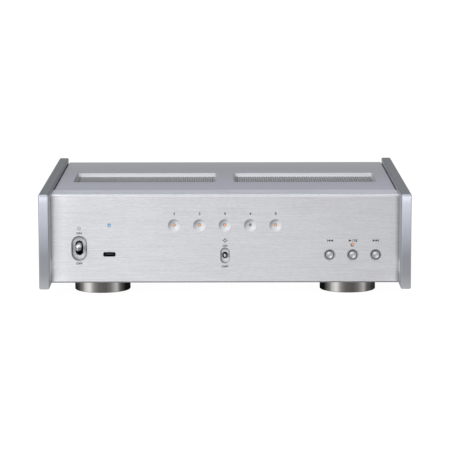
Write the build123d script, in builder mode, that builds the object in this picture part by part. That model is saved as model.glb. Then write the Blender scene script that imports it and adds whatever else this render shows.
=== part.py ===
from build123d import *
import os

os.makedirs("parts", exist_ok=True)

# Network music streamer: a flat silver case between two thick side plates.
# Millimetres. X runs right, Y runs back and Z runs up, with the floor at zero.
# The origin is under the middle of the whole depth, rear jacks included.

# Side plates
case_width = 290.0
plate_depth = 240.0
plate_height = 74.8
plate_thickness = 8.0
plate_edge_radius = 1.3
floor_to_plate = 9.7
rear_reach = 9.0

# Front panel, a machined bar whose lip runs back over the case
panel_set_back = 26.0
panel_drop = 3.6
panel_rise = 0.8
panel_thickness = 6.0
panel_lip_depth = 27.0
panel_side_gap = 0.1
panel_edge_radius = 0.8
panel_bottom_chamfer = 1.2

# Top cover and its two vent windows
cover_thickness = 3.0
cover_side_gap = 0.8
cover_seam = 0.3
cover_rear_inset = 2.4
cover_edge_radius = 0.4
window_length = 59.0
window_set_back = 76.0
window_inner_x = 7.0
window_outer_inset = 12.6
window_corner_radius = 4.0
mesh_thickness = 0.8
mesh_border = 2.5
mesh_holes_across = 25
mesh_holes_deep = 12
mesh_open_share = 0.62

# Folded steel chassis
sheet = 1.5
chassis_rise = 1.5
bend_radius = 2.5
tab_width = 12.0

# Rear panel
rear_panel_thickness = 3.0
rear_panel_side_gap = 0.5
rear_panel_top_gap = 0.2

# Fasteners
screw_radius = 1.45
screw_clearance = 0.05
screw_through_radius = 1.7
screw_head_radius = 2.8
screw_head_height = 1.8
screw_socket_radius = 1.2
screw_socket_depth = 1.0

# Clearances
running_clearance = 0.05
seat_clearance = 0.3
cut_overrun = 1.0
lip_width = window_outer_inset - mesh_border - seat_clearance

# Places that follow from the sizes above
plate_front_y = -(plate_depth + rear_reach) / 2
plate_rear_y = plate_front_y + plate_depth
plate_bottom_z = floor_to_plate
plate_top_z = plate_bottom_z + plate_height
body_half = case_width / 2 - plate_thickness
panel_face_y = plate_front_y + panel_set_back
panel_rear_y = panel_face_y + panel_thickness
panel_top_z = plate_top_z - panel_drop
panel_bottom_z = plate_bottom_z + panel_rise
cover_bottom_z = panel_top_z - cover_thickness
cover_front_y = panel_face_y + panel_lip_depth + cover_seam
cover_rear_y = plate_rear_y - cover_rear_inset
rear_panel_y = cover_rear_y - rear_panel_thickness
chassis_bottom_z = panel_bottom_z + chassis_rise
floor_z = chassis_bottom_z + sheet
inner_half = body_half - sheet
inner_depth = rear_panel_y - panel_rear_y


def facing_front(y):
    """An upright plane at depth y that faces forward: x is right, y is up."""
    return Plane(origin=(0, y, 0), x_dir=(1, 0, 0), z_dir=(0, -1, 0))


def facing_back(y):
    """An upright plane at depth y that faces back: x is left, y is up."""
    return Plane(origin=(0, y, 0), x_dir=(-1, 0, 0), z_dir=(0, 1, 0))


def flipped(places):
    """The same places for a plane that faces back."""
    return [(-x, z) for x, z in places]


def both_sides(places):
    """Each place and its mirror image on the left."""
    return [(side * x, y) for side in (-1, 1) for x, y in places]


def block(low, high):
    """Adds the box between two opposite corners to the part being built."""
    size = [b - a for a, b in zip(low, high)]
    middle = [(a + b) / 2 for a, b in zip(low, high)]
    with Locations(tuple(middle)):
        Box(*size)


def discs(plane, places, radius, length, mode=Mode.ADD):
    """Adds or cuts round columns that start on a plane and run along its normal."""
    with BuildSketch(plane) as circles:
        with Locations(*places):
            Circle(radius)
    extrude(circles.sketch, amount=length, mode=mode)


def screw_group(plane, places, length):
    """Pan head screws with the heads seated on a plane and the shanks below it."""
    with BuildPart() as group:
        discs(plane, places, screw_head_radius, screw_head_height)
        discs(plane, places, screw_radius, -length)
        with BuildSketch(plane.offset(screw_head_height)):
            with Locations(*places):
                RegularPolygon(screw_socket_radius, 6)
        extrude(amount=-screw_socket_depth, mode=Mode.SUBTRACT)
    return group


# Side screws run from inside the chassis wall into the side plates
side_screw_length = 6.0
side_screw_rows_share = 0.62
side_screw_span_share = 0.82
side_screw_columns = 3
side_screw_middle_y = (panel_rear_y + rear_panel_y) / 2
side_screw_middle_z = (floor_z + cover_bottom_z) / 2
side_screw_pitch_y = inner_depth * side_screw_span_share / (side_screw_columns - 1)
side_screw_pitch_z = (cover_bottom_z - floor_z) * side_screw_rows_share
side_screw_grid = [
    (
        side_screw_middle_y + (column - (side_screw_columns - 1) / 2) * side_screw_pitch_y,
        side_screw_middle_z + (row - 1 / 2) * side_screw_pitch_z,
    )
    for column in range(side_screw_columns)
    for row in range(2)
]

with BuildPart() as side_plate_right:
    block(
        (body_half, plate_front_y, plate_bottom_z),
        (case_width / 2, plate_rear_y, plate_top_z),
    )
    fillet(side_plate_right.edges(), plate_edge_radius)
    discs(
        Plane.YZ.offset(body_half),
        side_screw_grid,
        screw_radius + screw_clearance,
        side_screw_length - sheet + screw_clearance,
        Mode.SUBTRACT,
    )
side_plate_right.part.label = "side_plate_right"
export_step(side_plate_right.part, "parts/side_plate_right.step")

with BuildPart() as side_plate_left:
    add(side_plate_right.part.mirror(Plane.YZ))
side_plate_left.part.label = "side_plate_left"
export_step(side_plate_left.part, "parts/side_plate_left.step")

with BuildPart() as side_screws:
    add(
        screw_group(
            Plane(origin=(-inner_half, 0, 0), x_dir=(0, 1, 0), z_dir=(1, 0, 0)),
            side_screw_grid,
            side_screw_length,
        ).part
    )
    mirror(about=Plane.YZ)
side_screws.part.label = "side_screws"
export_step(side_screws.part, "parts/side_screws.step")

# Front controls, placed from the panel's ends and its top edge
power_from_end = 21.95
power_below_top = 42.8
power_recess_width = 12.4
power_recess_height = 20.1
power_recess_depth = 2.6
power_recess_taper = 22.0
power_slot_width = 6.2
power_slot_height = 12.0
dimmer_below_top = 48.6
dimmer_recess_width = 7.4
dimmer_recess_height = 12.7
dimmer_recess_depth = 2.2
dimmer_recess_taper = 16.0
dimmer_hole_width = 4.2
dimmer_hole_height = 5.4
usb_from_end = 45.75
usb_below_top = 47.6
usb_opening_width = 9.8
usb_opening_height = 3.7
usb_opening_corner = 1.2
status_below_top = 24.6
play_from_end = 36.2
button_pitch = 18.2
button_below_top = 48.25
button_radius = 3.15
button_dish_radius = 4.6
button_dish_depth = 1.3
play_light_below_top = 40.0
light_radius = 1.2
light_clearance = 0.05
dimple_count = 5
dimple_pitch = 20.0
dimple_radius = 5.0
dimple_depth = 2.6
idle_dimple = 3

power_x = power_from_end - body_half
power_z = panel_top_z - power_below_top
dimmer_z = panel_top_z - dimmer_below_top
usb_x = usb_from_end - body_half
usb_z = panel_top_z - usb_below_top
status_z = panel_top_z - status_below_top
play_x = body_half - play_from_end
button_z = panel_top_z - button_below_top
play_light_z = panel_top_z - play_light_below_top
button_names = ("previous_button", "play_button", "next_button")
button_places = [(play_x + step * button_pitch, button_z) for step in (-1, 0, 1)]
dimple_places = [
    ((index - (dimple_count - 1) / 2) * dimple_pitch, status_z)
    for index in range(dimple_count)
]
dimple_sphere_radius = (dimple_radius**2 + dimple_depth**2) / (2 * dimple_depth)

# Control board behind the panel, on bosses that belong to the panel
board_thickness = 1.6
board_gap = 7.0
control_board_margin = 11.0
control_board_low = 5.0
control_board_high = 6.0
boss_radius = 3.5
boss_inset = 5.0
boss_hole_depth = 8.0
control_board_y = panel_rear_y + board_gap
control_board_left = power_x + power_recess_width / 2 + boss_radius + seat_clearance
control_board_right = body_half - control_board_margin
control_board_bottom = floor_z + control_board_low
control_board_top = cover_bottom_z - control_board_high
boss_places = [
    (x, z)
    for x in (
        control_board_left + boss_inset,
        usb_x / 2,
        (play_x - button_pitch) / 2,
        control_board_right - boss_inset,
    )
    for z in (control_board_bottom + boss_inset, control_board_top - boss_inset)
]

# Screws that hold the panel to the chassis tabs
panel_screw_length = 5.5
panel_screw_inset = 6.0
panel_screw_rows_share = 0.7
panel_screw_pitch = (cover_bottom_z - floor_z) * panel_screw_rows_share
panel_screw_places = both_sides(
    [
        (body_half - panel_screw_inset, side_screw_middle_z + step * panel_screw_pitch / 2)
        for step in (-1, 1)
    ]
)

power_body_width = 13.0
power_body_height = 22.0
power_flange_hole_span = power_body_height + 2 * (screw_head_radius + seat_clearance)
power_flange_height = power_flange_hole_span + 2 * screw_head_radius
power_flange_holes = [
    (power_x, power_z + step * power_flange_hole_span / 2) for step in (-1, 1)
]

# Screws that hold the cover and the panel's lip to the chassis lips from below
cover_screw_length = 3.5
cover_screw_inset = 6.5
cover_screw_count = 3
cover_screw_end_gap = 14.0
lip_screw_share = 0.67
lip_screw_y = panel_rear_y + (panel_lip_depth - panel_thickness) * lip_screw_share
cover_screw_step = (cover_rear_y - cover_front_y - 2 * cover_screw_end_gap) / (
    cover_screw_count - 1
)
cover_screw_ys = [
    cover_front_y + cover_screw_end_gap + step * cover_screw_step
    for step in range(cover_screw_count)
]
cover_screw_x = body_half - cover_screw_inset
cover_screw_places = both_sides([(cover_screw_x, y) for y in cover_screw_ys])
lip_screw_places = both_sides([(cover_screw_x, lip_screw_y)])

with BuildPart() as front_panel:
    panel_end = body_half - panel_side_gap
    block(
        (-panel_end, panel_face_y, panel_bottom_z),
        (panel_end, panel_rear_y, panel_top_z),
    )
    block(
        (-panel_end, panel_rear_y, cover_bottom_z),
        (panel_end, panel_face_y + panel_lip_depth, panel_top_z),
    )
    face_edges = front_panel.faces().sort_by(Axis.Y)[0].edges().filter_by(Axis.X)
    fillet(face_edges.sort_by(Axis.Z)[-1], panel_edge_radius)
    face_edges = front_panel.faces().sort_by(Axis.Y)[0].edges().filter_by(Axis.X)
    chamfer(face_edges.sort_by(Axis.Z)[0], panel_bottom_chamfer)
    # Bosses for the control board
    discs(facing_back(panel_rear_y), flipped(boss_places), boss_radius, board_gap)
    discs(
        facing_back(control_board_y),
        flipped(boss_places),
        screw_radius + screw_clearance,
        -boss_hole_depth,
        Mode.SUBTRACT,
    )
    # Power switch recess and slot
    with BuildSketch(facing_front(panel_face_y)):
        with Locations((power_x, power_z)):
            SlotOverall(power_recess_height, power_recess_width, rotation=90)
    extrude(amount=-power_recess_depth, taper=power_recess_taper, mode=Mode.SUBTRACT)
    with BuildSketch(facing_front(panel_face_y)):
        with Locations((power_x, power_z)):
            SlotOverall(power_slot_height, power_slot_width, rotation=90)
    extrude(amount=-panel_thickness - cut_overrun, mode=Mode.SUBTRACT)
    # Dimmer switch recess and hole
    with BuildSketch(facing_front(panel_face_y)):
        with Locations((0, dimmer_z)):
            SlotOverall(dimmer_recess_height, dimmer_recess_width, rotation=90)
    extrude(amount=-dimmer_recess_depth, taper=dimmer_recess_taper, mode=Mode.SUBTRACT)
    with BuildSketch(facing_front(panel_face_y)):
        with Locations((0, dimmer_z)):
            SlotOverall(dimmer_hole_height, dimmer_hole_width, rotation=90)
    extrude(amount=-panel_thickness - cut_overrun, mode=Mode.SUBTRACT)
    # Service socket opening
    with BuildSketch(facing_front(panel_face_y)):
        with Locations((usb_x, usb_z)):
            RectangleRounded(usb_opening_width, usb_opening_height, usb_opening_corner)
    extrude(amount=-panel_thickness - cut_overrun, mode=Mode.SUBTRACT)
    # Dished seats of the indicator lights
    dimple_sphere_y = panel_face_y + dimple_depth - dimple_sphere_radius
    with Locations(*[(x, dimple_sphere_y, z) for x, z in dimple_places]):
        Sphere(dimple_sphere_radius, mode=Mode.SUBTRACT)
    discs(
        facing_front(panel_rear_y),
        dimple_places + [(usb_x, status_z), (play_x, play_light_z)],
        light_radius + light_clearance,
        panel_thickness + cut_overrun,
        Mode.SUBTRACT,
    )
    # Button bores, each with a conical dish
    discs(
        facing_front(panel_rear_y),
        button_places,
        button_radius + running_clearance,
        panel_thickness + cut_overrun,
        Mode.SUBTRACT,
    )
    dish_floor = button_radius + running_clearance
    for x, z in button_places:
        with BuildSketch(facing_front(panel_face_y)):
            with Locations((x, z)):
                Circle(button_dish_radius)
        with BuildSketch(facing_front(panel_face_y + button_dish_depth)):
            with Locations((x, z)):
                Circle(dish_floor)
        loft(mode=Mode.SUBTRACT)
    # Blind threads for the chassis tabs and lips
    discs(
        facing_back(panel_rear_y),
        flipped(panel_screw_places + power_flange_holes),
        screw_radius + screw_clearance,
        sheet - panel_screw_length - screw_clearance,
        Mode.SUBTRACT,
    )
    discs(
        Plane.XY.offset(cover_bottom_z),
        lip_screw_places,
        screw_radius + screw_clearance,
        cover_screw_length - sheet + screw_clearance,
        Mode.SUBTRACT,
    )
front_panel.part.label = "front_panel"
export_step(front_panel.part, "parts/front_panel.step")

# Top cover
window_half = (body_half - window_outer_inset - window_inner_x) / 2
window_x = window_inner_x + window_half
window_y = panel_face_y + window_set_back + window_length / 2
with BuildPart() as top_cover:
    cover_half = body_half - cover_side_gap
    block(
        (-cover_half, cover_front_y, cover_bottom_z),
        (cover_half, cover_rear_y, panel_top_z),
    )
    top_edges = top_cover.faces().sort_by(Axis.Z)[-1].edges()
    fillet(top_edges, cover_edge_radius)
    with BuildSketch(Plane.XY.offset(cover_bottom_z)):
        with Locations((-window_x, window_y), (window_x, window_y)):
            RectangleRounded(2 * window_half, window_length, window_corner_radius)
    extrude(amount=cover_thickness + cut_overrun, mode=Mode.SUBTRACT)
    discs(
        Plane.XY.offset(cover_bottom_z),
        cover_screw_places,
        screw_radius + screw_clearance,
        cover_screw_length - sheet + screw_clearance,
        Mode.SUBTRACT,
    )
top_cover.part.label = "top_cover"
export_step(top_cover.part, "parts/top_cover.step")


def vent_mesh(side):
    """One perforated sheet, bonded under its window."""
    pitch_x = 2 * window_half / mesh_holes_across
    pitch_y = window_length / mesh_holes_deep
    with BuildPart() as mesh:
        with BuildSketch(Plane.XY.offset(cover_bottom_z - mesh_thickness)):
            with Locations((side * window_x, window_y)):
                Rectangle(2 * window_half + 2 * mesh_border, window_length + 2 * mesh_border)
                with GridLocations(pitch_x, pitch_y, mesh_holes_across, mesh_holes_deep):
                    Rectangle(
                        pitch_x * mesh_open_share,
                        pitch_y * mesh_open_share,
                        mode=Mode.SUBTRACT,
                    )
        extrude(amount=mesh_thickness)
    return mesh


for side, name in ((-1, "vent_mesh_left"), (1, "vent_mesh_right")):
    mesh = vent_mesh(side)
    mesh.part.label = name
    export_step(mesh.part, f"parts/{name}.step")

# Feet: two at the front and one at the rear, each a turned disc on a pin
foot_radius = 22.3
foot_height = 10.1
foot_edge_radius = 0.8
foot_bottom_chamfer = 0.4
foot_side_inset = 38.5
foot_behind_panel = 35.0
foot_from_rear = 42.0
pad_radius = 18.5
pad_thickness = 1.5
pad_reveal = 0.1
pad_clearance = 0.1
pin_radius = 4.0
pin_flange_radius = 9.0
pin_cone_height = 2.5
pin_floor_gap = 1.5
stud_radius = 3.0
stud_clearance = 0.1
nut_height = 4.0
nut_radius = 5.8
stud_past_nut = 1.5
foot_top_z = pad_reveal + foot_height
pin_tip_z = pad_thickness + pin_floor_gap
front_foot_y = panel_face_y + foot_behind_panel
rear_foot_y = cover_rear_y - foot_from_rear
foot_places = {
    "front_left": (foot_side_inset - body_half, front_foot_y),
    "front_right": (body_half - foot_side_inset, front_foot_y),
    "rear": (0, rear_foot_y),
}


def foot_body(place):
    """Turned metal disc with a socket for its pin and a seat for its pad."""
    with BuildPart() as body:
        discs(Plane.XY.offset(pad_reveal), [place], foot_radius, foot_height)
        round_edges = body.edges().filter_by(GeomType.CIRCLE).sort_by(Axis.Z)
        chamfer(round_edges[0], foot_bottom_chamfer)
        round_edges = body.edges().filter_by(GeomType.CIRCLE).sort_by(Axis.Z)
        fillet(round_edges[-1], foot_edge_radius)
        discs(
            Plane.XY.offset(pad_reveal),
            [place],
            pad_radius + pad_clearance,
            pad_thickness - pad_reveal,
            Mode.SUBTRACT,
        )
        discs(
            Plane.XY.offset(pin_tip_z),
            [place],
            pin_radius + pad_clearance,
            foot_top_z - pin_tip_z,
            Mode.SUBTRACT,
        )
    return body


def foot_pad(place):
    """Felt disc under the metal body."""
    with BuildPart() as pad:
        discs(Plane.XY, [place], pad_radius, pad_thickness)
    return pad


def foot_pin(place):
    """Pointed pin with a flange, screwed up through the chassis."""
    x, y = place
    cone_base = pin_tip_z + pin_cone_height
    stud_top = floor_z + nut_height + stud_past_nut
    with BuildPart() as pin:
        with BuildSketch(Plane.XZ.offset(-y)):
            with BuildLine():
                Polyline(
                    (x, pin_tip_z),
                    (x + pin_radius, cone_base),
                    (x + pin_radius, foot_top_z),
                    (x + pin_flange_radius, foot_top_z),
                    (x + pin_flange_radius, chassis_bottom_z),
                    (x + stud_radius, chassis_bottom_z),
                    (x + stud_radius, stud_top),
                    (x, stud_top),
                    close=True,
                )
            make_face()
        revolve(axis=Axis((x, y, 0), (0, 0, 1)))
    return pin


for corner, place in foot_places.items():
    for kind, maker in (("foot", foot_body), ("foot_pad", foot_pad), ("foot_pin", foot_pin)):
        piece = maker(place)
        name = f"{kind}_{corner}"
        piece.part.label = name
        export_step(piece.part, f"parts/{name}.step")

with BuildPart() as foot_nuts:
    with BuildSketch(Plane.XY.offset(floor_z)):
        with Locations(*foot_places.values()):
            RegularPolygon(nut_radius, 6)
            Circle(stud_radius + stud_clearance, mode=Mode.SUBTRACT)
    extrude(amount=nut_height)
foot_nuts.part.label = "foot_nuts"
export_step(foot_nuts.part, "parts/foot_nuts.step")

# Inner layout: the supply side is on the left, the digital side on the right
standoff_height = 6.0
standoff_radius = 3.2
board_screw_length = 5.0
board_hole_inset = 5.0
wall_gap = 13.0
middle_gap = 8.0
inlet_body_depth = 22.0
capacitor_radius = 9.0
capacitor_pitch = 21.0
capacitor_inlet_gap = 2.0
capacitor_margin = 13.0
board_z = floor_z + standoff_height
board_top_z = board_z + board_thickness
main_board_left = middle_gap / 2
main_board_right = inner_half - wall_gap
main_board_length_share = 0.7
main_board_rear = rear_panel_y - seat_clearance
main_board_front = main_board_rear - inner_depth * main_board_length_share
# The capacitors stand clear of the mains inlet and set the supply board's length
capacitor_reach = capacitor_pitch / 2 + capacitor_radius
capacitor_y = cover_rear_y - inlet_body_depth - capacitor_inlet_gap - capacitor_reach
supply_board_left = -main_board_right
supply_board_right = -main_board_left
supply_board_rear = main_board_rear
supply_board_front = capacitor_y - capacitor_reach - capacitor_margin


def corner_places(left, right, front, rear, inset):
    """Four hole places, one inside each corner of a board."""
    return [(x, y) for x in (left + inset, right - inset) for y in (front + inset, rear - inset)]


main_board_rear_inset = 24.0
main_board_holes = [
    (x, y)
    for x in (main_board_left + board_hole_inset, main_board_right - board_hole_inset)
    for y in (main_board_front + board_hole_inset, main_board_rear - main_board_rear_inset)
]
supply_board_holes = corner_places(
    supply_board_left, supply_board_right, supply_board_front, supply_board_rear, board_hole_inset
)
board_holes = main_board_holes + supply_board_holes

# Toroidal transformer in front of the supply board
transformer_radius = 37.0
transformer_bore_radius = 12.0
transformer_height = 33.0
transformer_round = 6.0
transformer_pad_thickness = 2.0
transformer_pad_radius = 34.0
dish_radius = 30.0
dish_thickness = 1.5
dish_dip = 4.0
dish_wall_gap = 2.0
transformer_bolt_radius = 2.9
transformer_bolt_head_radius = 5.0
transformer_bolt_head_height = 4.0
transformer_x_share = 0.53
transformer_x = -inner_half * transformer_x_share
transformer_y = (control_board_y + board_thickness + supply_board_front) / 2
transformer_z = floor_z + transformer_pad_thickness
transformer_top_z = transformer_z + transformer_height
transformer_place = (transformer_x, transformer_y)

# Rear panel screws into the chassis tabs
rear_screw_length = 5.5
rear_screw_places = [
    (x, z) for x, z in both_sides([(body_half - panel_screw_inset, side_screw_middle_z)])
] + panel_screw_places

with BuildPart() as bottom_chassis:
    chassis_height = cover_bottom_z - chassis_bottom_z
    with BuildSketch(facing_front(panel_rear_y)):
        with Locations((0, chassis_bottom_z + chassis_height / 2)):
            RectangleRounded(2 * body_half, chassis_height, bend_radius)
            RectangleRounded(
                2 * inner_half, chassis_height - 2 * sheet, bend_radius - sheet, mode=Mode.SUBTRACT
            )
        with Locations((0, cover_bottom_z - sheet / 2)):
            Rectangle(2 * (body_half - lip_width), sheet + cut_overrun, mode=Mode.SUBTRACT)
    extrude(amount=-inner_depth)
    tab_low = floor_z + bend_radius
    tab_high = cover_bottom_z - sheet - bend_radius
    for low_x, high_x in ((-inner_half, tab_width - body_half), (body_half - tab_width, inner_half)):
        block((low_x, panel_rear_y, tab_low), (high_x, panel_rear_y + sheet, tab_high))
        block((low_x, rear_panel_y - sheet, tab_low), (high_x, rear_panel_y, tab_high))
    # Holes for the panel, rear, side, cover, foot and transformer fasteners
    discs(
        facing_front(panel_rear_y + sheet + cut_overrun),
        panel_screw_places,
        screw_through_radius,
        sheet + 2 * cut_overrun,
        Mode.SUBTRACT,
    )
    discs(
        facing_front(rear_panel_y + cut_overrun),
        rear_screw_places,
        screw_radius + screw_clearance,
        sheet + 2 * cut_overrun,
        Mode.SUBTRACT,
    )
    discs(
        Plane.YZ.offset(-body_half - cut_overrun),
        side_screw_grid,
        screw_through_radius,
        2 * body_half + 2 * cut_overrun,
        Mode.SUBTRACT,
    )
    discs(
        Plane.XY.offset(cover_bottom_z - sheet - cut_overrun),
        cover_screw_places + lip_screw_places,
        screw_through_radius,
        sheet + 2 * cut_overrun,
        Mode.SUBTRACT,
    )
    discs(
        Plane.XY.offset(chassis_bottom_z - cut_overrun),
        list(foot_places.values()),
        stud_radius + stud_clearance,
        sheet + 2 * cut_overrun,
        Mode.SUBTRACT,
    )
    discs(
        Plane.XY.offset(chassis_bottom_z - cut_overrun),
        [transformer_place],
        transformer_bolt_radius + stud_clearance,
        sheet + 2 * cut_overrun,
        Mode.SUBTRACT,
    )
bottom_chassis.part.label = "bottom_chassis"
export_step(bottom_chassis.part, "parts/bottom_chassis.step")

panel_screws = screw_group(
    facing_back(panel_rear_y + sheet),
    flipped(panel_screw_places + power_flange_holes),
    panel_screw_length,
)
panel_screws.part.label = "panel_screws"
export_step(panel_screws.part, "parts/panel_screws.step")

cover_screws = screw_group(
    Plane(origin=(0, 0, cover_bottom_z - sheet), x_dir=(1, 0, 0), z_dir=(0, 0, -1)),
    [(x, -y) for x, y in cover_screw_places + lip_screw_places],
    cover_screw_length,
)
cover_screws.part.label = "cover_screws"
export_step(cover_screws.part, "parts/cover_screws.step")

with BuildPart() as transformer_pad:
    discs(
        Plane.XY.offset(floor_z),
        [transformer_place],
        transformer_pad_radius,
        transformer_pad_thickness,
    )
    discs(
        Plane.XY.offset(floor_z),
        [transformer_place],
        transformer_bore_radius,
        transformer_pad_thickness,
        Mode.SUBTRACT,
    )
transformer_pad.part.label = "transformer_pad"
export_step(transformer_pad.part, "parts/transformer_pad.step")

with BuildPart() as transformer:
    discs(
        Plane.XY.offset(transformer_z),
        [transformer_place],
        transformer_radius,
        transformer_height,
    )
    discs(
        Plane.XY.offset(transformer_z),
        [transformer_place],
        transformer_bore_radius,
        transformer_height,
        Mode.SUBTRACT,
    )
    fillet(transformer.edges().filter_by(GeomType.CIRCLE), transformer_round)
transformer.part.label = "transformer"
export_step(transformer.part, "parts/transformer.step")

with BuildPart() as transformer_dish:
    dip_x = transformer_x + transformer_bore_radius - dish_wall_gap
    dip_z = transformer_top_z - dish_dip
    with BuildSketch(Plane.XZ.offset(-transformer_y)):
        with BuildLine():
            Polyline(
                (transformer_x, dip_z),
                (dip_x, dip_z),
                (dip_x, transformer_top_z),
                (transformer_x + dish_radius, transformer_top_z),
                (transformer_x + dish_radius, transformer_top_z + dish_thickness),
                (dip_x - dish_thickness, transformer_top_z + dish_thickness),
                (dip_x - dish_thickness, dip_z + dish_thickness),
                (transformer_x, dip_z + dish_thickness),
                close=True,
            )
        make_face()
    revolve(axis=Axis((transformer_x, transformer_y, 0), (0, 0, 1)))
    discs(
        Plane.XY.offset(transformer_top_z - dish_dip - cut_overrun),
        [transformer_place],
        transformer_bolt_radius + stud_clearance,
        dish_thickness + 2 * cut_overrun,
        Mode.SUBTRACT,
    )
transformer_dish.part.label = "transformer_dish"
export_step(transformer_dish.part, "parts/transformer_dish.step")

with BuildPart() as transformer_bolt:
    bolt_seat_z = transformer_top_z - dish_dip + dish_thickness
    discs(
        Plane.XY.offset(chassis_bottom_z),
        [transformer_place],
        transformer_bolt_radius,
        bolt_seat_z - chassis_bottom_z,
    )
    with BuildSketch(Plane.XY.offset(bolt_seat_z)):
        with Locations(transformer_place):
            RegularPolygon(transformer_bolt_head_radius, 6)
    extrude(amount=transformer_bolt_head_height)
transformer_bolt.part.label = "transformer_bolt"
export_step(transformer_bolt.part, "parts/transformer_bolt.step")

# Control board
with BuildPart() as control_board:
    block(
        (control_board_left, control_board_y, control_board_bottom),
        (control_board_right, control_board_y + board_thickness, control_board_top),
    )
    discs(
        facing_back(control_board_y - cut_overrun),
        flipped(boss_places),
        screw_through_radius,
        board_thickness + 2 * cut_overrun,
        Mode.SUBTRACT,
    )
control_board.part.label = "control_board"
export_step(control_board.part, "parts/control_board.step")

control_board_screws = screw_group(
    facing_back(control_board_y + board_thickness), flipped(boss_places), board_screw_length
)
control_board_screws.part.label = "control_board_screws"
export_step(control_board_screws.part, "parts/control_board_screws.step")

# Push buttons: a cap in the panel bore, a flange behind it and a stem into its switch
button_proud = 0.4
button_edge_radius = 0.35
button_face_dip = 0.25
button_flange_radius = 4.6
button_flange_thickness = 1.0
button_flange_gap = 0.1
button_travel = 0.8
stem_radius = 1.7
stem_engagement = 0.4
stem_end_gap = 0.4
tact_width = 6.0
tact_height = 3.6
tact_well_depth = stem_engagement + button_travel + stem_end_gap
button_flange_y = panel_rear_y + button_flange_gap
tact_face_y = control_board_y - tact_height


def push_button(place):
    """Turned metal button with a shallow spun dip in its face."""
    x, z = place
    cap_face_y = panel_face_y - button_proud
    dip_radius = button_radius - button_edge_radius
    dip_sphere_radius = (dip_radius**2 + button_face_dip**2) / (2 * button_face_dip)
    with BuildPart() as button:
        discs(facing_front(button_flange_y), [place], button_radius, button_flange_y - cap_face_y)
        rims = button.edges().filter_by(GeomType.CIRCLE).sort_by(Axis.Y)
        fillet(rims[0], button_edge_radius)
        discs(
            facing_back(button_flange_y),
            flipped([place]),
            button_flange_radius,
            button_flange_thickness,
        )
        discs(
            facing_back(button_flange_y),
            flipped([place]),
            stem_radius,
            tact_face_y + stem_engagement - button_flange_y,
        )
        with Locations((x, cap_face_y + button_face_dip - dip_sphere_radius, z)):
            Sphere(dip_sphere_radius, mode=Mode.SUBTRACT)
    return button


for name, place in zip(button_names, button_places):
    button = push_button(place)
    button.part.label = name
    export_step(button.part, f"parts/{name}.step")

with BuildPart() as tact_switches:
    with BuildSketch(facing_front(control_board_y)):
        with Locations(*button_places):
            Rectangle(tact_width, tact_width)
            Circle(stem_radius + running_clearance, mode=Mode.SUBTRACT)
    extrude(amount=tact_height)
    discs(
        facing_front(control_board_y),
        button_places,
        stem_radius + running_clearance,
        tact_height - tact_well_depth,
    )
tact_switches.part.label = "tact_switches"
export_step(tact_switches.part, "parts/tact_switches.step")

# Light pipes: a lens rod in the panel on a square foot that covers its diode
light_foot_width = 4.0
light_foot_height = 1.4
lens_dome = 0.5


def light_pipes(places, tip_y):
    """Lens rods with a domed tip at tip_y, each on its foot on the control board."""
    with BuildPart() as pipes:
        with BuildSketch(facing_front(control_board_y)):
            with Locations(*places):
                Rectangle(light_foot_width, light_foot_width)
        extrude(amount=light_foot_height)
        discs(facing_front(control_board_y), places, light_radius, control_board_y - tip_y)
        tips = pipes.edges().filter_by(GeomType.CIRCLE).group_by(Axis.Y)[0]
        fillet(tips, lens_dome)
    return pipes


lit_places = [place for index, place in enumerate(dimple_places) if index != idle_dimple]
lens_y = panel_face_y + dimple_depth - lens_dome / 2
for name, places, tip_y in (
    ("indicator_lights", lit_places, lens_y),
    ("idle_indicator_light", [dimple_places[idle_dimple]], lens_y),
    ("status_light", [(usb_x, status_z)], panel_face_y),
    ("play_light", [(play_x, play_light_z)], panel_face_y + lens_dome),
):
    pipes = light_pipes(places, tip_y)
    pipes.part.label = name
    export_step(pipes.part, f"parts/{name}.step")

# Upright service socket on the control board, flush in the panel's opening
usb_shell_width = 8.94
usb_shell_height = 3.26
usb_shell_wall = 0.3
usb_recess = 0.6
usb_cavity_depth = 6.4
usb_tongue_width = 6.6
usb_tongue_height = 0.7
usb_tongue_set_back = 0.8
usb_foot_width = 10.6
usb_foot_height = 5.0
usb_foot_depth = 2.0
usb_mouth_y = panel_face_y + usb_recess
with BuildPart() as usb_c_socket:
    with BuildSketch(facing_front(control_board_y)):
        with Locations((usb_x, usb_z)):
            SlotOverall(usb_shell_width, usb_shell_height)
    extrude(amount=control_board_y - usb_mouth_y)
    with BuildSketch(facing_front(control_board_y)):
        with Locations((usb_x, usb_z)):
            Rectangle(usb_foot_width, usb_foot_height)
    extrude(amount=usb_foot_depth)
    with BuildSketch(facing_front(usb_mouth_y)):
        with Locations((usb_x, usb_z)):
            SlotOverall(usb_shell_width - 2 * usb_shell_wall, usb_shell_height - 2 * usb_shell_wall)
    extrude(amount=-usb_cavity_depth, mode=Mode.SUBTRACT)
usb_c_socket.part.label = "usb_c_socket"
export_step(usb_c_socket.part, "parts/usb_c_socket.step")

with BuildPart() as usb_c_tongue:
    block(
        (
            usb_x - usb_tongue_width / 2,
            usb_mouth_y + usb_tongue_set_back,
            usb_z - usb_tongue_height / 2,
        ),
        (
            usb_x + usb_tongue_width / 2,
            usb_mouth_y + usb_cavity_depth,
            usb_z + usb_tongue_height / 2,
        ),
    )
    tongue_sides = usb_c_tongue.edges().filter_by(Axis.Z).group_by(Axis.Y)[0]
    fillet(tongue_sides, usb_tongue_height / 2)
usb_c_tongue.part.label = "usb_c_tongue"
export_step(usb_c_tongue.part, "parts/usb_c_tongue.step")


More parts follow.
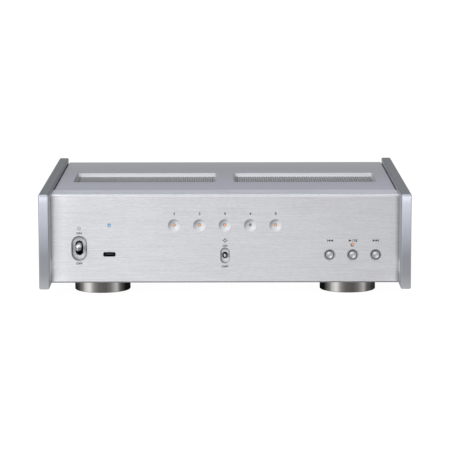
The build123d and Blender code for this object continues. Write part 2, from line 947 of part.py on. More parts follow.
def toggle_lever(place, pivot_y, tip_y, sizes):
    """Bat lever on a cross pin: an eye, a tapered shaft and a round tip."""
    x, z = place
    root_radius, tip_radius, eye_radius, eye_width, bore_radius = sizes
    length = pivot_y - tip_y
    with BuildPart() as lever:
        with BuildSketch(Plane.XY):
            with BuildLine():
                Line((0, 0), (root_radius, 0))
                Line((root_radius, 0), (tip_radius, length - tip_radius))
                RadiusArc((tip_radius, length - tip_radius), (0, length), -tip_radius)
                Line((0, length), (0, 0))
            make_face()
        revolve(axis=Axis.Y)
        discs(Plane.YZ.offset(-eye_width / 2), [(0, 0)], eye_radius, eye_width)
        discs(
            Plane.YZ.offset(-eye_width / 2 - cut_overrun),
            [(0, 0)],
            bore_radius,
            eye_width + 2 * cut_overrun,
            Mode.SUBTRACT,
        )
    turned = lever.part.rotate(Axis.X, 180)
    with BuildPart() as placed:
        add(turned.moved(Location((x, pivot_y, z))))
    return placed


def switch_body(place, front_y, size, cavity, pivot, pin_hole_radius):
    """Moulded switch housing, open at the front where the lever swings."""
    x, z = place
    width, height, depth = size
    cavity_width, cavity_height, cavity_depth = cavity
    pivot_depth, pivot_rise = pivot
    with BuildPart() as body:
        block(
            (x - width / 2, front_y, z - height / 2), (x + width / 2, front_y + depth, z + height / 2)
        )
        with BuildSketch(facing_front(front_y)):
            with Locations((x, z)):
                Rectangle(cavity_width, cavity_height)
        extrude(amount=-cavity_depth, mode=Mode.SUBTRACT)
        discs(
            Plane.YZ.offset(x - width / 2 - cut_overrun),
            [(front_y + pivot_depth, z + pivot_rise)],
            pin_hole_radius,
            width + 2 * cut_overrun,
            Mode.SUBTRACT,
        )
    return body


# Power switch, fixed to the back of the panel by its flange
power_body_depth = 17.0
power_pivot = 5.0
power_pivot_rise = 2.3
power_pin_radius = 1.0
power_pin_length = 12.0
power_eye_radius = 2.7
power_eye_width = 4.4
power_root_radius = 1.8
power_tip_radius = 2.4
power_lever_reach = 14.0
power_cavity_width = 5.2
power_cavity_height = 13.0
power_cavity_depth = 8.8
power_place = (power_x, power_z)
power_body_y = panel_rear_y + sheet
power_pivot_y = power_body_y + power_pivot
power_pivot_z = power_z + power_pivot_rise

power_lever = toggle_lever(
    (power_x, power_pivot_z),
    power_pivot_y,
    panel_face_y - power_lever_reach,
    (
        power_root_radius,
        power_tip_radius,
        power_eye_radius,
        power_eye_width,
        power_pin_radius + running_clearance,
    ),
)
power_lever.part.label = "power_lever"
export_step(power_lever.part, "parts/power_lever.step")

power_switch_body = switch_body(
    power_place,
    power_body_y,
    (power_body_width, power_body_height, power_body_depth),
    (power_cavity_width, power_cavity_height, power_cavity_depth),
    (power_pivot, power_pivot_rise),
    power_pin_radius,
)
power_switch_body.part.label = "power_switch_body"
export_step(power_switch_body.part, "parts/power_switch_body.step")

with BuildPart() as power_lever_pin:
    discs(
        Plane.YZ.offset(power_x - power_pin_length / 2),
        [(power_pivot_y, power_pivot_z)],
        power_pin_radius,
        power_pin_length,
    )
power_lever_pin.part.label = "power_lever_pin"
export_step(power_lever_pin.part, "parts/power_lever_pin.step")

with BuildPart() as power_switch_flange:
    with BuildSketch(facing_front(panel_rear_y)):
        with Locations(power_place):
            Rectangle(power_body_width, power_flange_height)
            SlotOverall(power_slot_height, power_slot_width, rotation=90, mode=Mode.SUBTRACT)
        with Locations(*power_flange_holes):
            Circle(screw_through_radius, mode=Mode.SUBTRACT)
    extrude(amount=-sheet)
power_switch_flange.part.label = "power_switch_flange"
export_step(power_switch_flange.part, "parts/power_switch_flange.step")

# Dimmer switch, soldered upright on the control board
dimmer_body_width = 7.6
dimmer_body_height = 12.6
dimmer_body_depth = 6.4
dimmer_pivot = 2.6
dimmer_pin_radius = 0.6
dimmer_eye_radius = 1.7
dimmer_eye_width = 2.4
dimmer_root_radius = 0.9
dimmer_tip_radius = 1.25
dimmer_lever_reach = 0.6
dimmer_cavity_width = 3.0
dimmer_cavity_height = 6.0
dimmer_cavity_depth = 4.8
dimmer_place = (0, dimmer_z)
dimmer_body_y = control_board_y - dimmer_body_depth
dimmer_pivot_y = dimmer_body_y + dimmer_pivot

dimmer_lever = toggle_lever(
    dimmer_place,
    dimmer_pivot_y,
    panel_face_y - dimmer_lever_reach,
    (
        dimmer_root_radius,
        dimmer_tip_radius,
        dimmer_eye_radius,
        dimmer_eye_width,
        dimmer_pin_radius + running_clearance,
    ),
)
dimmer_lever.part.label = "dimmer_lever"
export_step(dimmer_lever.part, "parts/dimmer_lever.step")

dimmer_switch_body = switch_body(
    dimmer_place,
    dimmer_body_y,
    (dimmer_body_width, dimmer_body_height, dimmer_body_depth),
    (dimmer_cavity_width, dimmer_cavity_height, dimmer_cavity_depth),
    (dimmer_pivot, 0),
    dimmer_pin_radius,
)
with dimmer_switch_body:
    discs(
        Plane.YZ.offset(-dimmer_body_width / 2),
        [(dimmer_pivot_y, dimmer_z)],
        dimmer_pin_radius,
        dimmer_body_width,
    )
dimmer_switch_body.part.label = "dimmer_switch_body"
export_step(dimmer_switch_body.part, "parts/dimmer_switch_body.step")


def circuit_board(left, right, front, rear, bottom, holes):
    """Flat board with screw holes."""
    with BuildPart() as board:
        block((left, front, bottom), (right, rear, bottom + board_thickness))
        discs(
            Plane.XY.offset(bottom - cut_overrun),
            holes,
            screw_through_radius,
            board_thickness + 2 * cut_overrun,
            Mode.SUBTRACT,
        )
    return board


main_board = circuit_board(
    main_board_left, main_board_right, main_board_front, main_board_rear, board_z, main_board_holes
)
main_board.part.label = "main_board"
export_step(main_board.part, "parts/main_board.step")

supply_board = circuit_board(
    supply_board_left,
    supply_board_right,
    supply_board_front,
    supply_board_rear,
    board_z,
    supply_board_holes,
)
supply_board.part.label = "supply_board"
export_step(supply_board.part, "parts/supply_board.step")

with BuildPart() as board_standoffs:
    discs(Plane.XY.offset(floor_z), board_holes, standoff_radius, standoff_height)
    discs(
        Plane.XY.offset(board_z),
        board_holes,
        screw_radius + screw_clearance,
        board_thickness - board_screw_length - screw_clearance,
        Mode.SUBTRACT,
    )
board_standoffs.part.label = "board_standoffs"
export_step(board_standoffs.part, "parts/board_standoffs.step")

board_screws = screw_group(Plane.XY.offset(board_top_z), board_holes, board_screw_length)
board_screws.part.label = "board_screws"
export_step(board_screws.part, "parts/board_screws.step")

# Supply board: smoothing capacitors in a grid and a finned heat sink
capacitor_height = 28.0
capacitor_edge_radius = 0.8
capacitor_x_share = 0.5
supply_board_length = supply_board_rear - supply_board_front
supply_board_width = supply_board_right - supply_board_left
capacitor_x = supply_board_left + supply_board_width * capacitor_x_share
with BuildPart() as filter_capacitors:
    with BuildSketch(Plane.XY.offset(board_top_z)):
        with Locations((capacitor_x, capacitor_y)):
            with GridLocations(capacitor_pitch, capacitor_pitch, 2, 2):
                Circle(capacitor_radius)
    extrude(amount=capacitor_height)
    fillet(filter_capacitors.edges().group_by(Axis.Z)[-1], capacitor_edge_radius)
filter_capacitors.part.label = "filter_capacitors"
export_step(filter_capacitors.part, "parts/filter_capacitors.step")

sink_base = 4.0
sink_width = 22.0
sink_height = 34.0
sink_fin_count = 7
sink_fin_share = 0.4
sink_length_share = 0.62
sink_x_share = 0.84
sink_x = supply_board_left + supply_board_width * sink_x_share
sink_y = (supply_board_front + supply_board_rear) / 2
sink_length = supply_board_length * sink_length_share
with BuildPart() as supply_heat_sink:
    fin_pitch = sink_length / sink_fin_count
    block(
        (sink_x - sink_width / 2, sink_y - sink_length / 2, board_top_z),
        (sink_x - sink_width / 2 + sink_base, sink_y + sink_length / 2, board_top_z + sink_height),
    )
    for fin in range(sink_fin_count):
        fin_y = sink_y - sink_length / 2 + (fin + 1 / 2) * fin_pitch
        fin_half = fin_pitch * sink_fin_share / 2
        block(
            (sink_x - sink_width / 2 + sink_base, fin_y - fin_half, board_top_z),
            (sink_x + sink_width / 2, fin_y + fin_half, board_top_z + sink_height),
        )
supply_heat_sink.part.label = "supply_heat_sink"
export_step(supply_heat_sink.part, "parts/supply_heat_sink.step")

# Streaming module: a small board on four posts with a finned processor cooler
module_width_share = 0.46
module_length_share = 0.34
module_x_share = 0.6
module_y_share = 0.3
module_rise = 5.0
module_post_radius = 2.0
module_post_inset = 4.0
cooler_share = 0.62
cooler_height = 12.0
cooler_base = 3.0
cooler_fin_count = 8
cooler_fin_share = 0.4
main_board_width = main_board_right - main_board_left
main_board_length = main_board_rear - main_board_front
module_x = main_board_left + main_board_width * module_x_share
module_y = main_board_front + main_board_length * module_y_share
module_half_x = main_board_width * module_width_share / 2
module_half_y = main_board_length * module_length_share / 2
module_z = board_top_z + module_rise
with BuildPart() as streaming_module:
    block(
        (module_x - module_half_x, module_y - module_half_y, module_z),
        (module_x + module_half_x, module_y + module_half_y, module_z + board_thickness),
    )
    module_posts = corner_places(
        module_x - module_half_x,
        module_x + module_half_x,
        module_y - module_half_y,
        module_y + module_half_y,
        module_post_inset,
    )
    discs(Plane.XY.offset(board_top_z), module_posts, module_post_radius, module_rise)
    cooler_half = module_half_y * cooler_share
    cooler_z = module_z + board_thickness
    block(
        (module_x - cooler_half, module_y - cooler_half, cooler_z),
        (module_x + cooler_half, module_y + cooler_half, cooler_z + cooler_base),
    )
    cooler_pitch = 2 * cooler_half / cooler_fin_count
    for fin in range(cooler_fin_count):
        fin_x = module_x - cooler_half + (fin + 1 / 2) * cooler_pitch
        fin_half = cooler_pitch * cooler_fin_share / 2
        block(
            (fin_x - fin_half, module_y - cooler_half, cooler_z + cooler_base),
            (fin_x + fin_half, module_y + cooler_half, cooler_z + cooler_height),
        )
streaming_module.part.label = "streaming_module"
export_step(streaming_module.part, "parts/streaming_module.step")

# Ribbon cable with its two plugs, from the control board to the main board
ribbon_width = 26.0
ribbon_thickness = 0.9
ribbon_radius = 6.0
ribbon_arch = 22.0
ribbon_x_share = 0.5
plug_width = 31.0
plug_thickness = 5.0
plug_length = 7.0
plug_inset = 9.0
ribbon_x = main_board_left + main_board_width * ribbon_x_share
control_plug_y = control_board_y + board_thickness
control_plug_z = control_board_bottom + plug_inset
main_plug_y = main_board_front + plug_inset
ribbon_start_y = control_plug_y + plug_length
ribbon_end_z = board_top_z + plug_length
ribbon_top_z = ribbon_end_z + ribbon_arch
ribbon_run = main_plug_y - ribbon_start_y
ribbon_rise_share = 0.3
with BuildPart() as ribbon_cable:
    with BuildSketch(Plane.YZ.offset(ribbon_x - ribbon_width / 2)):
        with BuildLine():
            FilletPolyline(
                (ribbon_start_y, control_plug_z),
                (ribbon_start_y + ribbon_run * ribbon_rise_share, control_plug_z),
                (main_plug_y - ribbon_run * ribbon_rise_share, ribbon_top_z),
                (main_plug_y, ribbon_top_z),
                (main_plug_y, ribbon_end_z),
                radius=ribbon_radius,
            )
        trace(line_width=ribbon_thickness)
    extrude(amount=ribbon_width)
    block(
        (ribbon_x - plug_width / 2, control_plug_y, control_plug_z - plug_thickness / 2),
        (ribbon_x + plug_width / 2, ribbon_start_y, control_plug_z + plug_thickness / 2),
    )
    block(
        (ribbon_x - plug_width / 2, main_plug_y - plug_thickness / 2, board_top_z),
        (ribbon_x + plug_width / 2, main_plug_y + plug_thickness / 2, ribbon_end_z),
    )
ribbon_cable.part.label = "ribbon_cable"
export_step(ribbon_cable.part, "parts/ribbon_cable.step")

# Rear sockets, placed along the main board's rear edge
ethernet_share = 0.12
fibre_share = 0.3
usb_a_share = 0.47
coaxial_share = 0.62
optical_share = 0.76
clock_share = 0.9
socket_proud = 0.5
port_clearance = 0.2
rear_face_y = cover_rear_y
ethernet_x = main_board_left + main_board_width * ethernet_share
fibre_x = main_board_left + main_board_width * fibre_share
usb_a_x = main_board_left + main_board_width * usb_a_share
coaxial_x = main_board_left + main_board_width * coaxial_share
optical_x = main_board_left + main_board_width * optical_share
clock_x = main_board_left + main_board_width * clock_share
jack_axis_height = 8.0
jack_z = board_top_z + jack_axis_height

# Ethernet socket
ethernet_width = 16.0
ethernet_height = 13.4
ethernet_depth = 21.5
ethernet_port_width = 11.8
ethernet_port_height = 7.0
ethernet_port_depth = 13.5
ethernet_port_rise = 2.0
ethernet_latch_width = 6.2
ethernet_latch_height = 2.2
with BuildPart() as ethernet_socket:
    socket_rear_y = rear_face_y + socket_proud
    port_z = board_top_z + ethernet_port_rise
    block(
        (ethernet_x - ethernet_width / 2, socket_rear_y - ethernet_depth, board_top_z),
        (ethernet_x + ethernet_width / 2, socket_rear_y, board_top_z + ethernet_height),
    )
    with BuildSketch(facing_back(socket_rear_y)):
        with Locations((-ethernet_x, port_z + ethernet_port_height / 2)):
            Rectangle(ethernet_port_width, ethernet_port_height)
        with Locations((-ethernet_x, port_z + ethernet_port_height)):
            Rectangle(ethernet_latch_width, 2 * ethernet_latch_height)
    extrude(amount=-ethernet_port_depth, mode=Mode.SUBTRACT)
ethernet_socket.part.label = "ethernet_socket"
export_step(ethernet_socket.part, "parts/ethernet_socket.step")

# Fibre module cage
fibre_width = 14.9
fibre_height = 9.8
fibre_depth = 48.0
fibre_wall = 0.4
with BuildPart() as fibre_cage:
    cage_rear_y = rear_face_y + socket_proud
    block(
        (fibre_x - fibre_width / 2, cage_rear_y - fibre_depth, board_top_z),
        (fibre_x + fibre_width / 2, cage_rear_y, board_top_z + fibre_height),
    )
    mouth = fibre_cage.faces().sort_by(Axis.Y)[-1]
    offset(amount=-fibre_wall, openings=mouth)
fibre_cage.part.label = "fibre_cage"
export_step(fibre_cage.part, "parts/fibre_cage.step")

# Two stacked type A sockets in one shell
usb_a_width = 14.2
usb_a_height = 15.6
usb_a_depth = 17.5
usb_a_port_width = 12.5
usb_a_port_height = 5.1
usb_a_port_depth = 10.0
usb_a_port_pitch = 7.4
usb_a_tongue_width = 11.1
usb_a_tongue_height = 1.8
usb_a_tongue_set_back = 1.0
with BuildPart() as usb_a_socket:
    shell_rear_y = rear_face_y + socket_proud
    block(
        (usb_a_x - usb_a_width / 2, shell_rear_y - usb_a_depth, board_top_z),
        (usb_a_x + usb_a_width / 2, shell_rear_y, board_top_z + usb_a_height),
    )
    for step in (-1, 1):
        port_middle = board_top_z + usb_a_height / 2 + step * usb_a_port_pitch / 2
        block_low = port_middle + usb_a_port_height / 2 - 2 * usb_a_tongue_height
        with BuildSketch(facing_back(shell_rear_y)):
            with Locations((-usb_a_x, port_middle)):
                Rectangle(usb_a_port_width, usb_a_port_height)
        extrude(amount=-usb_a_port_depth, mode=Mode.SUBTRACT)
        block(
            (usb_a_x - usb_a_tongue_width / 2, shell_rear_y - usb_a_port_depth, block_low),
            (
                usb_a_x + usb_a_tongue_width / 2,
                shell_rear_y - usb_a_tongue_set_back,
                block_low + usb_a_tongue_height,
            ),
        )
usb_a_socket.part.label = "usb_a_socket"
export_step(usb_a_socket.part, "parts/usb_a_socket.step")

# Coaxial output: a phono jack with its base on the board
coaxial_base = 10.0
coaxial_base_height = 13.0
coaxial_base_depth = 9.0
coaxial_radius = 4.15
coaxial_bore_radius = 1.6
coaxial_bore_depth = 9.5
coaxial_collar_radius = 5.6
coaxial_collar_thickness = 1.2
coaxial_reach = 8.0
with BuildPart() as coaxial_output:
    jack_tip_y = plate_rear_y + coaxial_reach
    block(
        (coaxial_x - coaxial_base / 2, rear_panel_y - seat_clearance - coaxial_base_depth, board_top_z),
        (coaxial_x + coaxial_base / 2, rear_panel_y - seat_clearance, board_top_z + coaxial_base_height),
    )
    discs(
        facing_back(rear_panel_y - seat_clearance),
        [(-coaxial_x, jack_z)],
        coaxial_radius,
        jack_tip_y - rear_panel_y + seat_clearance,
    )
    discs(
        facing_back(rear_face_y),
        [(-coaxial_x, jack_z)],
        coaxial_collar_radius,
        coaxial_collar_thickness,
    )
    discs(
        facing_back(jack_tip_y),
        [(-coaxial_x, jack_z)],
        coaxial_bore_radius,
        -coaxial_bore_depth,
        Mode.SUBTRACT,
    )
coaxial_output.part.label = "coaxial_output"
export_step(coaxial_output.part, "parts/coaxial_output.step")

# Clock input: a bayonet jack, the rearmost point of the whole case
clock_base = 13.0
clock_base_height = 15.0
clock_base_depth = 10.0
clock_radius = 4.8
clock_bore_radius = 3.3
clock_bore_depth = 8.5
clock_pin_radius = 0.8
clock_collar_radius = 6.6
clock_collar_thickness = 1.5
clock_lug_radius = 1.0
clock_lug_height = 1.0
clock_lug_inset = 3.5
with BuildPart() as clock_input:
    clock_tip_y = plate_rear_y + rear_reach
    block(
        (clock_x - clock_base / 2, rear_panel_y - seat_clearance - clock_base_depth, board_top_z),
        (clock_x + clock_base / 2, rear_panel_y - seat_clearance, board_top_z + clock_base_height),
    )
    discs(
        facing_back(rear_panel_y - seat_clearance),
        [(-clock_x, jack_z)],
        clock_radius,
        clock_tip_y - rear_panel_y + seat_clearance,
    )
    discs(
        facing_back(rear_face_y),
        [(-clock_x, jack_z)],
        clock_collar_radius,
        clock_collar_thickness,
    )
    lug_reach = clock_radius + clock_lug_height
    discs(
        Plane.YZ.offset(clock_x - lug_reach),
        [(clock_tip_y - clock_lug_inset, jack_z)],
        clock_lug_radius,
        2 * lug_reach,
    )
    discs(
        facing_back(clock_tip_y),
        [(-clock_x, jack_z)],
        clock_bore_radius,
        -clock_bore_depth,
        Mode.SUBTRACT,
    )
    discs(
        facing_back(clock_tip_y - clock_bore_depth),
        [(-clock_x, jack_z)],
        clock_pin_radius,
        clock_bore_depth - clock_pin_radius,
    )
clock_input.part.label = "clock_input"
export_step(clock_input.part, "parts/clock_input.step")

# Optical output with a sprung shutter hung from its top edge
optical_width = 10.6
optical_height = 12.0
optical_depth = 17.0
optical_port_width = 7.2
optical_port_height = 7.8
optical_port_depth = 12.0
optical_port_rise = 2.0
shutter_gap = 0.15
shutter_thickness = 0.8
shutter_set_back = 0.6
shutter_pin_radius = 0.6
shutter_pin_reach = 0.8
optical_rear_y = rear_face_y + socket_proud
optical_port_low = board_top_z + optical_port_rise
optical_port_high = optical_port_low + optical_port_height
shutter_axis_y = optical_rear_y - shutter_set_back - shutter_pin_radius
shutter_axis_z = optical_port_high - shutter_gap - shutter_pin_radius
with BuildPart() as optical_output:
    block(
        (optical_x - optical_width / 2, optical_rear_y - optical_depth, board_top_z),
        (optical_x + optical_width / 2, optical_rear_y, board_top_z + optical_height),
    )
    with BuildSketch(facing_back(optical_rear_y)):
        with Locations((-optical_x, optical_port_low + optical_port_height / 2)):
            Rectangle(optical_port_width, optical_port_height)
    extrude(amount=-optical_port_depth, mode=Mode.SUBTRACT)
    pin_span = optical_port_width + 2 * (shutter_pin_reach + running_clearance)
    discs(
        Plane.YZ.offset(optical_x - pin_span / 2),
        [(shutter_axis_y, shutter_axis_z)],
        shutter_pin_radius + running_clearance,
        pin_span,
        Mode.SUBTRACT,
    )
optical_output.part.label = "optical_output"
export_step(optical_output.part, "parts/optical_output.step")

with BuildPart() as optical_shutter:
    shutter_half = optical_port_width / 2 - shutter_gap
    block(
        (
            optical_x - shutter_half,
            shutter_axis_y + shutter_pin_radius - shutter_thickness,
            optical_port_low + shutter_gap,
        ),
        (optical_x + shutter_half, shutter_axis_y + shutter_pin_radius, shutter_axis_z),
    )
    discs(
        Plane.YZ.offset(optical_x - optical_port_width / 2 - shutter_pin_reach),
        [(shutter_axis_y, shutter_axis_z)],
        shutter_pin_radius,
        optical_port_width + 2 * shutter_pin_reach,
    )
optical_shutter.part.label = "optical_shutter"
export_step(optical_shutter.part, "parts/optical_shutter.step")

# Mains inlet snapped into the rear panel, with three blades in its recess
inlet_from_wall = 30.5
inlet_flange_width = 31.0
inlet_flange_height = 24.0
inlet_flange_thickness = 2.0
inlet_body_width = 27.0
inlet_body_height = 20.0
inlet_recess_width = 24.0
inlet_recess_height = 16.4
inlet_recess_depth = 17.0
inlet_recess_chamfer = 4.0
inlet_blade_pitch = 14.0
inlet_blade_width = 2.0
inlet_blade_height = 4.0
inlet_blade_drop = 2.0
inlet_earth_rise = 3.6
inlet_blade_set_back = 1.5
inlet_edge_radius = 1.5
inlet_x = inlet_from_wall - inner_half
inlet_z = (floor_z + cover_bottom_z) / 2
inlet_rear_y = rear_face_y + inlet_flange_thickness
with BuildPart() as mains_inlet:
    with BuildSketch(facing_back(rear_face_y)):
        with Locations((-inlet_x, inlet_z)):
            RectangleRounded(inlet_flange_width, inlet_flange_height, inlet_edge_radius)
    extrude(amount=inlet_flange_thickness)
    with BuildSketch(facing_back(rear_face_y)):
        with Locations((-inlet_x, inlet_z)):
            RectangleRounded(inlet_body_width, inlet_body_height, inlet_edge_radius)
    extrude(amount=-inlet_body_depth)
    with BuildSketch(facing_back(inlet_rear_y)) as recess:
        with Locations((-inlet_x, inlet_z)):
            Rectangle(inlet_recess_width, inlet_recess_height)
        chamfer(recess.vertices().group_by(Axis.Y)[-1], inlet_recess_chamfer)
    extrude(amount=-inlet_recess_depth, mode=Mode.SUBTRACT)
    blade_places = [
        (-inlet_x - inlet_blade_pitch / 2, inlet_z - inlet_blade_drop),
        (-inlet_x + inlet_blade_pitch / 2, inlet_z - inlet_blade_drop),
        (-inlet_x, inlet_z + inlet_earth_rise),
    ]
    with BuildSketch(facing_back(inlet_rear_y - inlet_recess_depth)):
        with Locations(*blade_places):
            Rectangle(inlet_blade_width, inlet_blade_height)
    extrude(amount=inlet_recess_depth - inlet_blade_set_back)
mains_inlet.part.label = "mains_inlet"
export_step(mains_inlet.part, "parts/mains_inlet.step")

# Rear panel with a cut-out for each socket
with BuildPart() as rear_panel:
    rear_half = body_half - rear_panel_side_gap
    block(
        (-rear_half, rear_panel_y, chassis_bottom_z),
        (rear_half, rear_face_y, cover_bottom_z - rear_panel_top_gap),
    )
    with BuildSketch(facing_back(rear_face_y)):
        for x, width, height in (
            (ethernet_x, ethernet_width, ethernet_height),
            (fibre_x, fibre_width, fibre_height),
            (usb_a_x, usb_a_width, usb_a_height),
            (optical_x, optical_width, optical_height),
        ):
            with Locations((-x, board_top_z + height / 2)):
                Rectangle(width + 2 * port_clearance, height + 2 * port_clearance)
        with Locations((-inlet_x, inlet_z)):
            RectangleRounded(
                inlet_body_width + 2 * port_clearance,
                inlet_body_height + 2 * port_clearance,
                inlet_edge_radius,
            )
        with Locations((-coaxial_x, jack_z)):
            Circle(coaxial_radius + port_clearance)
        with Locations((-clock_x, jack_z)):
            Circle(clock_radius + port_clearance)
        with Locations(*flipped(rear_screw_places)):
            Circle(screw_through_radius)
    extrude(amount=-rear_panel_thickness - cut_overrun, mode=Mode.SUBTRACT)
rear_panel.part.label = "rear_panel"
export_step(rear_panel.part, "parts/rear_panel.step")

rear_screws = screw_group(facing_back(rear_face_y), flipped(rear_screw_places), rear_screw_length)
rear_screws.part.label = "rear_screws"
export_step(rear_screws.part, "parts/rear_screws.step")
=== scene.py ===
# %% [markdown]
# A compact silver music streamer, dressed for its portrait. The solids come from
# a CAD model, as a fixed frame: they already have the right sizes and places.
# Here each surface gets its finish, and small things that a solid model leaves
# out, such as printed words, contact springs and the fine vent mesh, are built
# as meshes. One Blender unit is one metre, X runs right, Y back and Z up.

import math

import bpy
from mathutils import Matrix, Vector


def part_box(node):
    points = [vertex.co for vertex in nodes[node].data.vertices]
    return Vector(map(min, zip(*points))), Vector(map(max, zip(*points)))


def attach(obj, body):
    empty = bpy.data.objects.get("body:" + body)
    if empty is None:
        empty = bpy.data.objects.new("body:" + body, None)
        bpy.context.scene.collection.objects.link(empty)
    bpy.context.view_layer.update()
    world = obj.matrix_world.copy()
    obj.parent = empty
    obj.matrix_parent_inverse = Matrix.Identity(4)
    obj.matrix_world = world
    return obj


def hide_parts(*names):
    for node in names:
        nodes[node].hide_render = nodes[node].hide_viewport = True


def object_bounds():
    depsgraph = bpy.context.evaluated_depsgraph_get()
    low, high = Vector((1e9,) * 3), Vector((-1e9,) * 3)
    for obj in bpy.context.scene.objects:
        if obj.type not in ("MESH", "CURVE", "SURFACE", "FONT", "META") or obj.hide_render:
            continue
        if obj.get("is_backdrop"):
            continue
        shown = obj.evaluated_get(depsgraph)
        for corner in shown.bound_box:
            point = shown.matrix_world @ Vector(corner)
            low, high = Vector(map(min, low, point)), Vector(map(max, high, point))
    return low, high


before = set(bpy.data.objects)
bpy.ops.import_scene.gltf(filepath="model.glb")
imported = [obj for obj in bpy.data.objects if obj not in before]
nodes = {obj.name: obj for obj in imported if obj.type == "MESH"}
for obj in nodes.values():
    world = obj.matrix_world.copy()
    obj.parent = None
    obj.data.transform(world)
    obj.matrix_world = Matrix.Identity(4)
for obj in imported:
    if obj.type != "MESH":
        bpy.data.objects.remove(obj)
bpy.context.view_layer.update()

# %% [markdown]
# A material is a small graph of nodes. Wiring dozens of Math nodes by hand is
# hard to read, so a wire is wrapped in a class whose operators add the nodes.
# `1 - mask * 0.3` then reads as it does on paper. Anything that isn't plain
# arithmetic, such as a noise texture, comes from one method called `add`.

# %% Wires that can be written in sums
MM = 0.001


class Wire:
    """One output socket of a material, usable in arithmetic."""

    def __init__(self, paint, socket):
        self.paint = paint
        self.socket = socket

    def math(self, operation, *others):
        return self.paint.math(operation, self, *others)

    def __add__(self, other):
        return self.math("ADD", other)

    def __sub__(self, other):
        return self.math("SUBTRACT", other)

    def __rsub__(self, other):
        return self.paint.math("SUBTRACT", other, self)

    def __mul__(self, other):
        return self.math("MULTIPLY", other)

    def __truediv__(self, other):
        return self.math("DIVIDE", other)

    def __neg__(self):
        return self * -1

    def __pow__(self, other):
        return self.math("POWER", other)

    __radd__ = __add__
    __rmul__ = __mul__

    def size(self):
        return self.math("ABSOLUTE")

    def least(self, other):
        return self.math("MINIMUM", other)

    def most(self, other):
        return self.math("MAXIMUM", other)

    def step(self, low, high):
        """0 below low, 1 above high and a soft step between; low may be the larger."""
        settings = {"interpolation_type": "SMOOTHSTEP", "clamp": True}
        places = {"Value": self, "From Min": low, "From Max": high}
        if low > high:
            places["From Min"], places["From Max"] = high, low
            places["To Min"], places["To Max"] = 1.0, 0.0
        return self.paint.add("ShaderNodeMapRange", settings, places)

    def near(self, centre, half, soft):
        """1 within half of centre, fading out over soft."""
        return (self - centre).size().step(half + soft, half)

    def share(self, low, high):
        """0 at low and 1 at high, on a straight line."""
        return (self - low) / (high - low)


# %% A tree of nodes
class Graph:
    """A node tree, empty at first, that expressions fill."""

    def __init__(self, tree):
        self.tree = tree
        tree.nodes.clear()

    def add(self, kind, settings, sockets, out=0):
        """A node: its settings first, then the values or links of its sockets."""
        node = self.tree.nodes.new(kind)
        for name, value in settings.items():
            if name == "stops":
                self.set_ramp(node.color_ramp, value)
            else:
                setattr(node, name, value)
        for name, value in sockets.items():
            self.feed(node.inputs[name], value)
        return Wire(self, node.outputs[out])

    def feed(self, socket, value):
        if isinstance(value, Wire):
            self.tree.links.new(value.socket, socket)
        else:
            socket.default_value = value

    def math(self, operation, *values):
        return self.add("ShaderNodeMath", {"operation": operation}, dict(enumerate(values)))

    def ramp(self, stops, share):
        """A colour by a wire from 0 to 1, from stops of (place, colour)."""
        return self.add("ShaderNodeValToRGB", {"stops": stops}, {"Fac": share})

    def set_ramp(self, ramp, stops):
        while len(ramp.elements) < len(stops):
            ramp.elements.new(0.5)
        for element, (place, shade) in zip(ramp.elements, stops):
            element.position = place
            element.color = (*colour(shade), 1)

    def mix(self, mask, one, other):
        """one where mask is 0, other where it is 1; both are colours."""
        sockets = {0: mask, 6: shade_of(one), 7: shade_of(other)}
        return self.add("ShaderNodeMix", {"data_type": "RGBA"}, sockets, 2)

    def tint(self, one, amount):
        """A colour made lighter or darker by a wire that is about 1."""
        grey = self.add(
            "ShaderNodeCombineColor", {}, {"Red": amount, "Green": amount, "Blue": amount}
        )
        settings = {"data_type": "RGBA", "blend_type": "MULTIPLY"}
        return self.add("ShaderNodeMix", settings, {0: 1.0, 6: shade_of(one), 7: grey}, 2)

    def close(self, kind, surface):
        """The output node, at the end of the graph."""
        output = self.tree.nodes.new(kind)
        self.tree.links.new(surface.socket, output.inputs["Surface"])


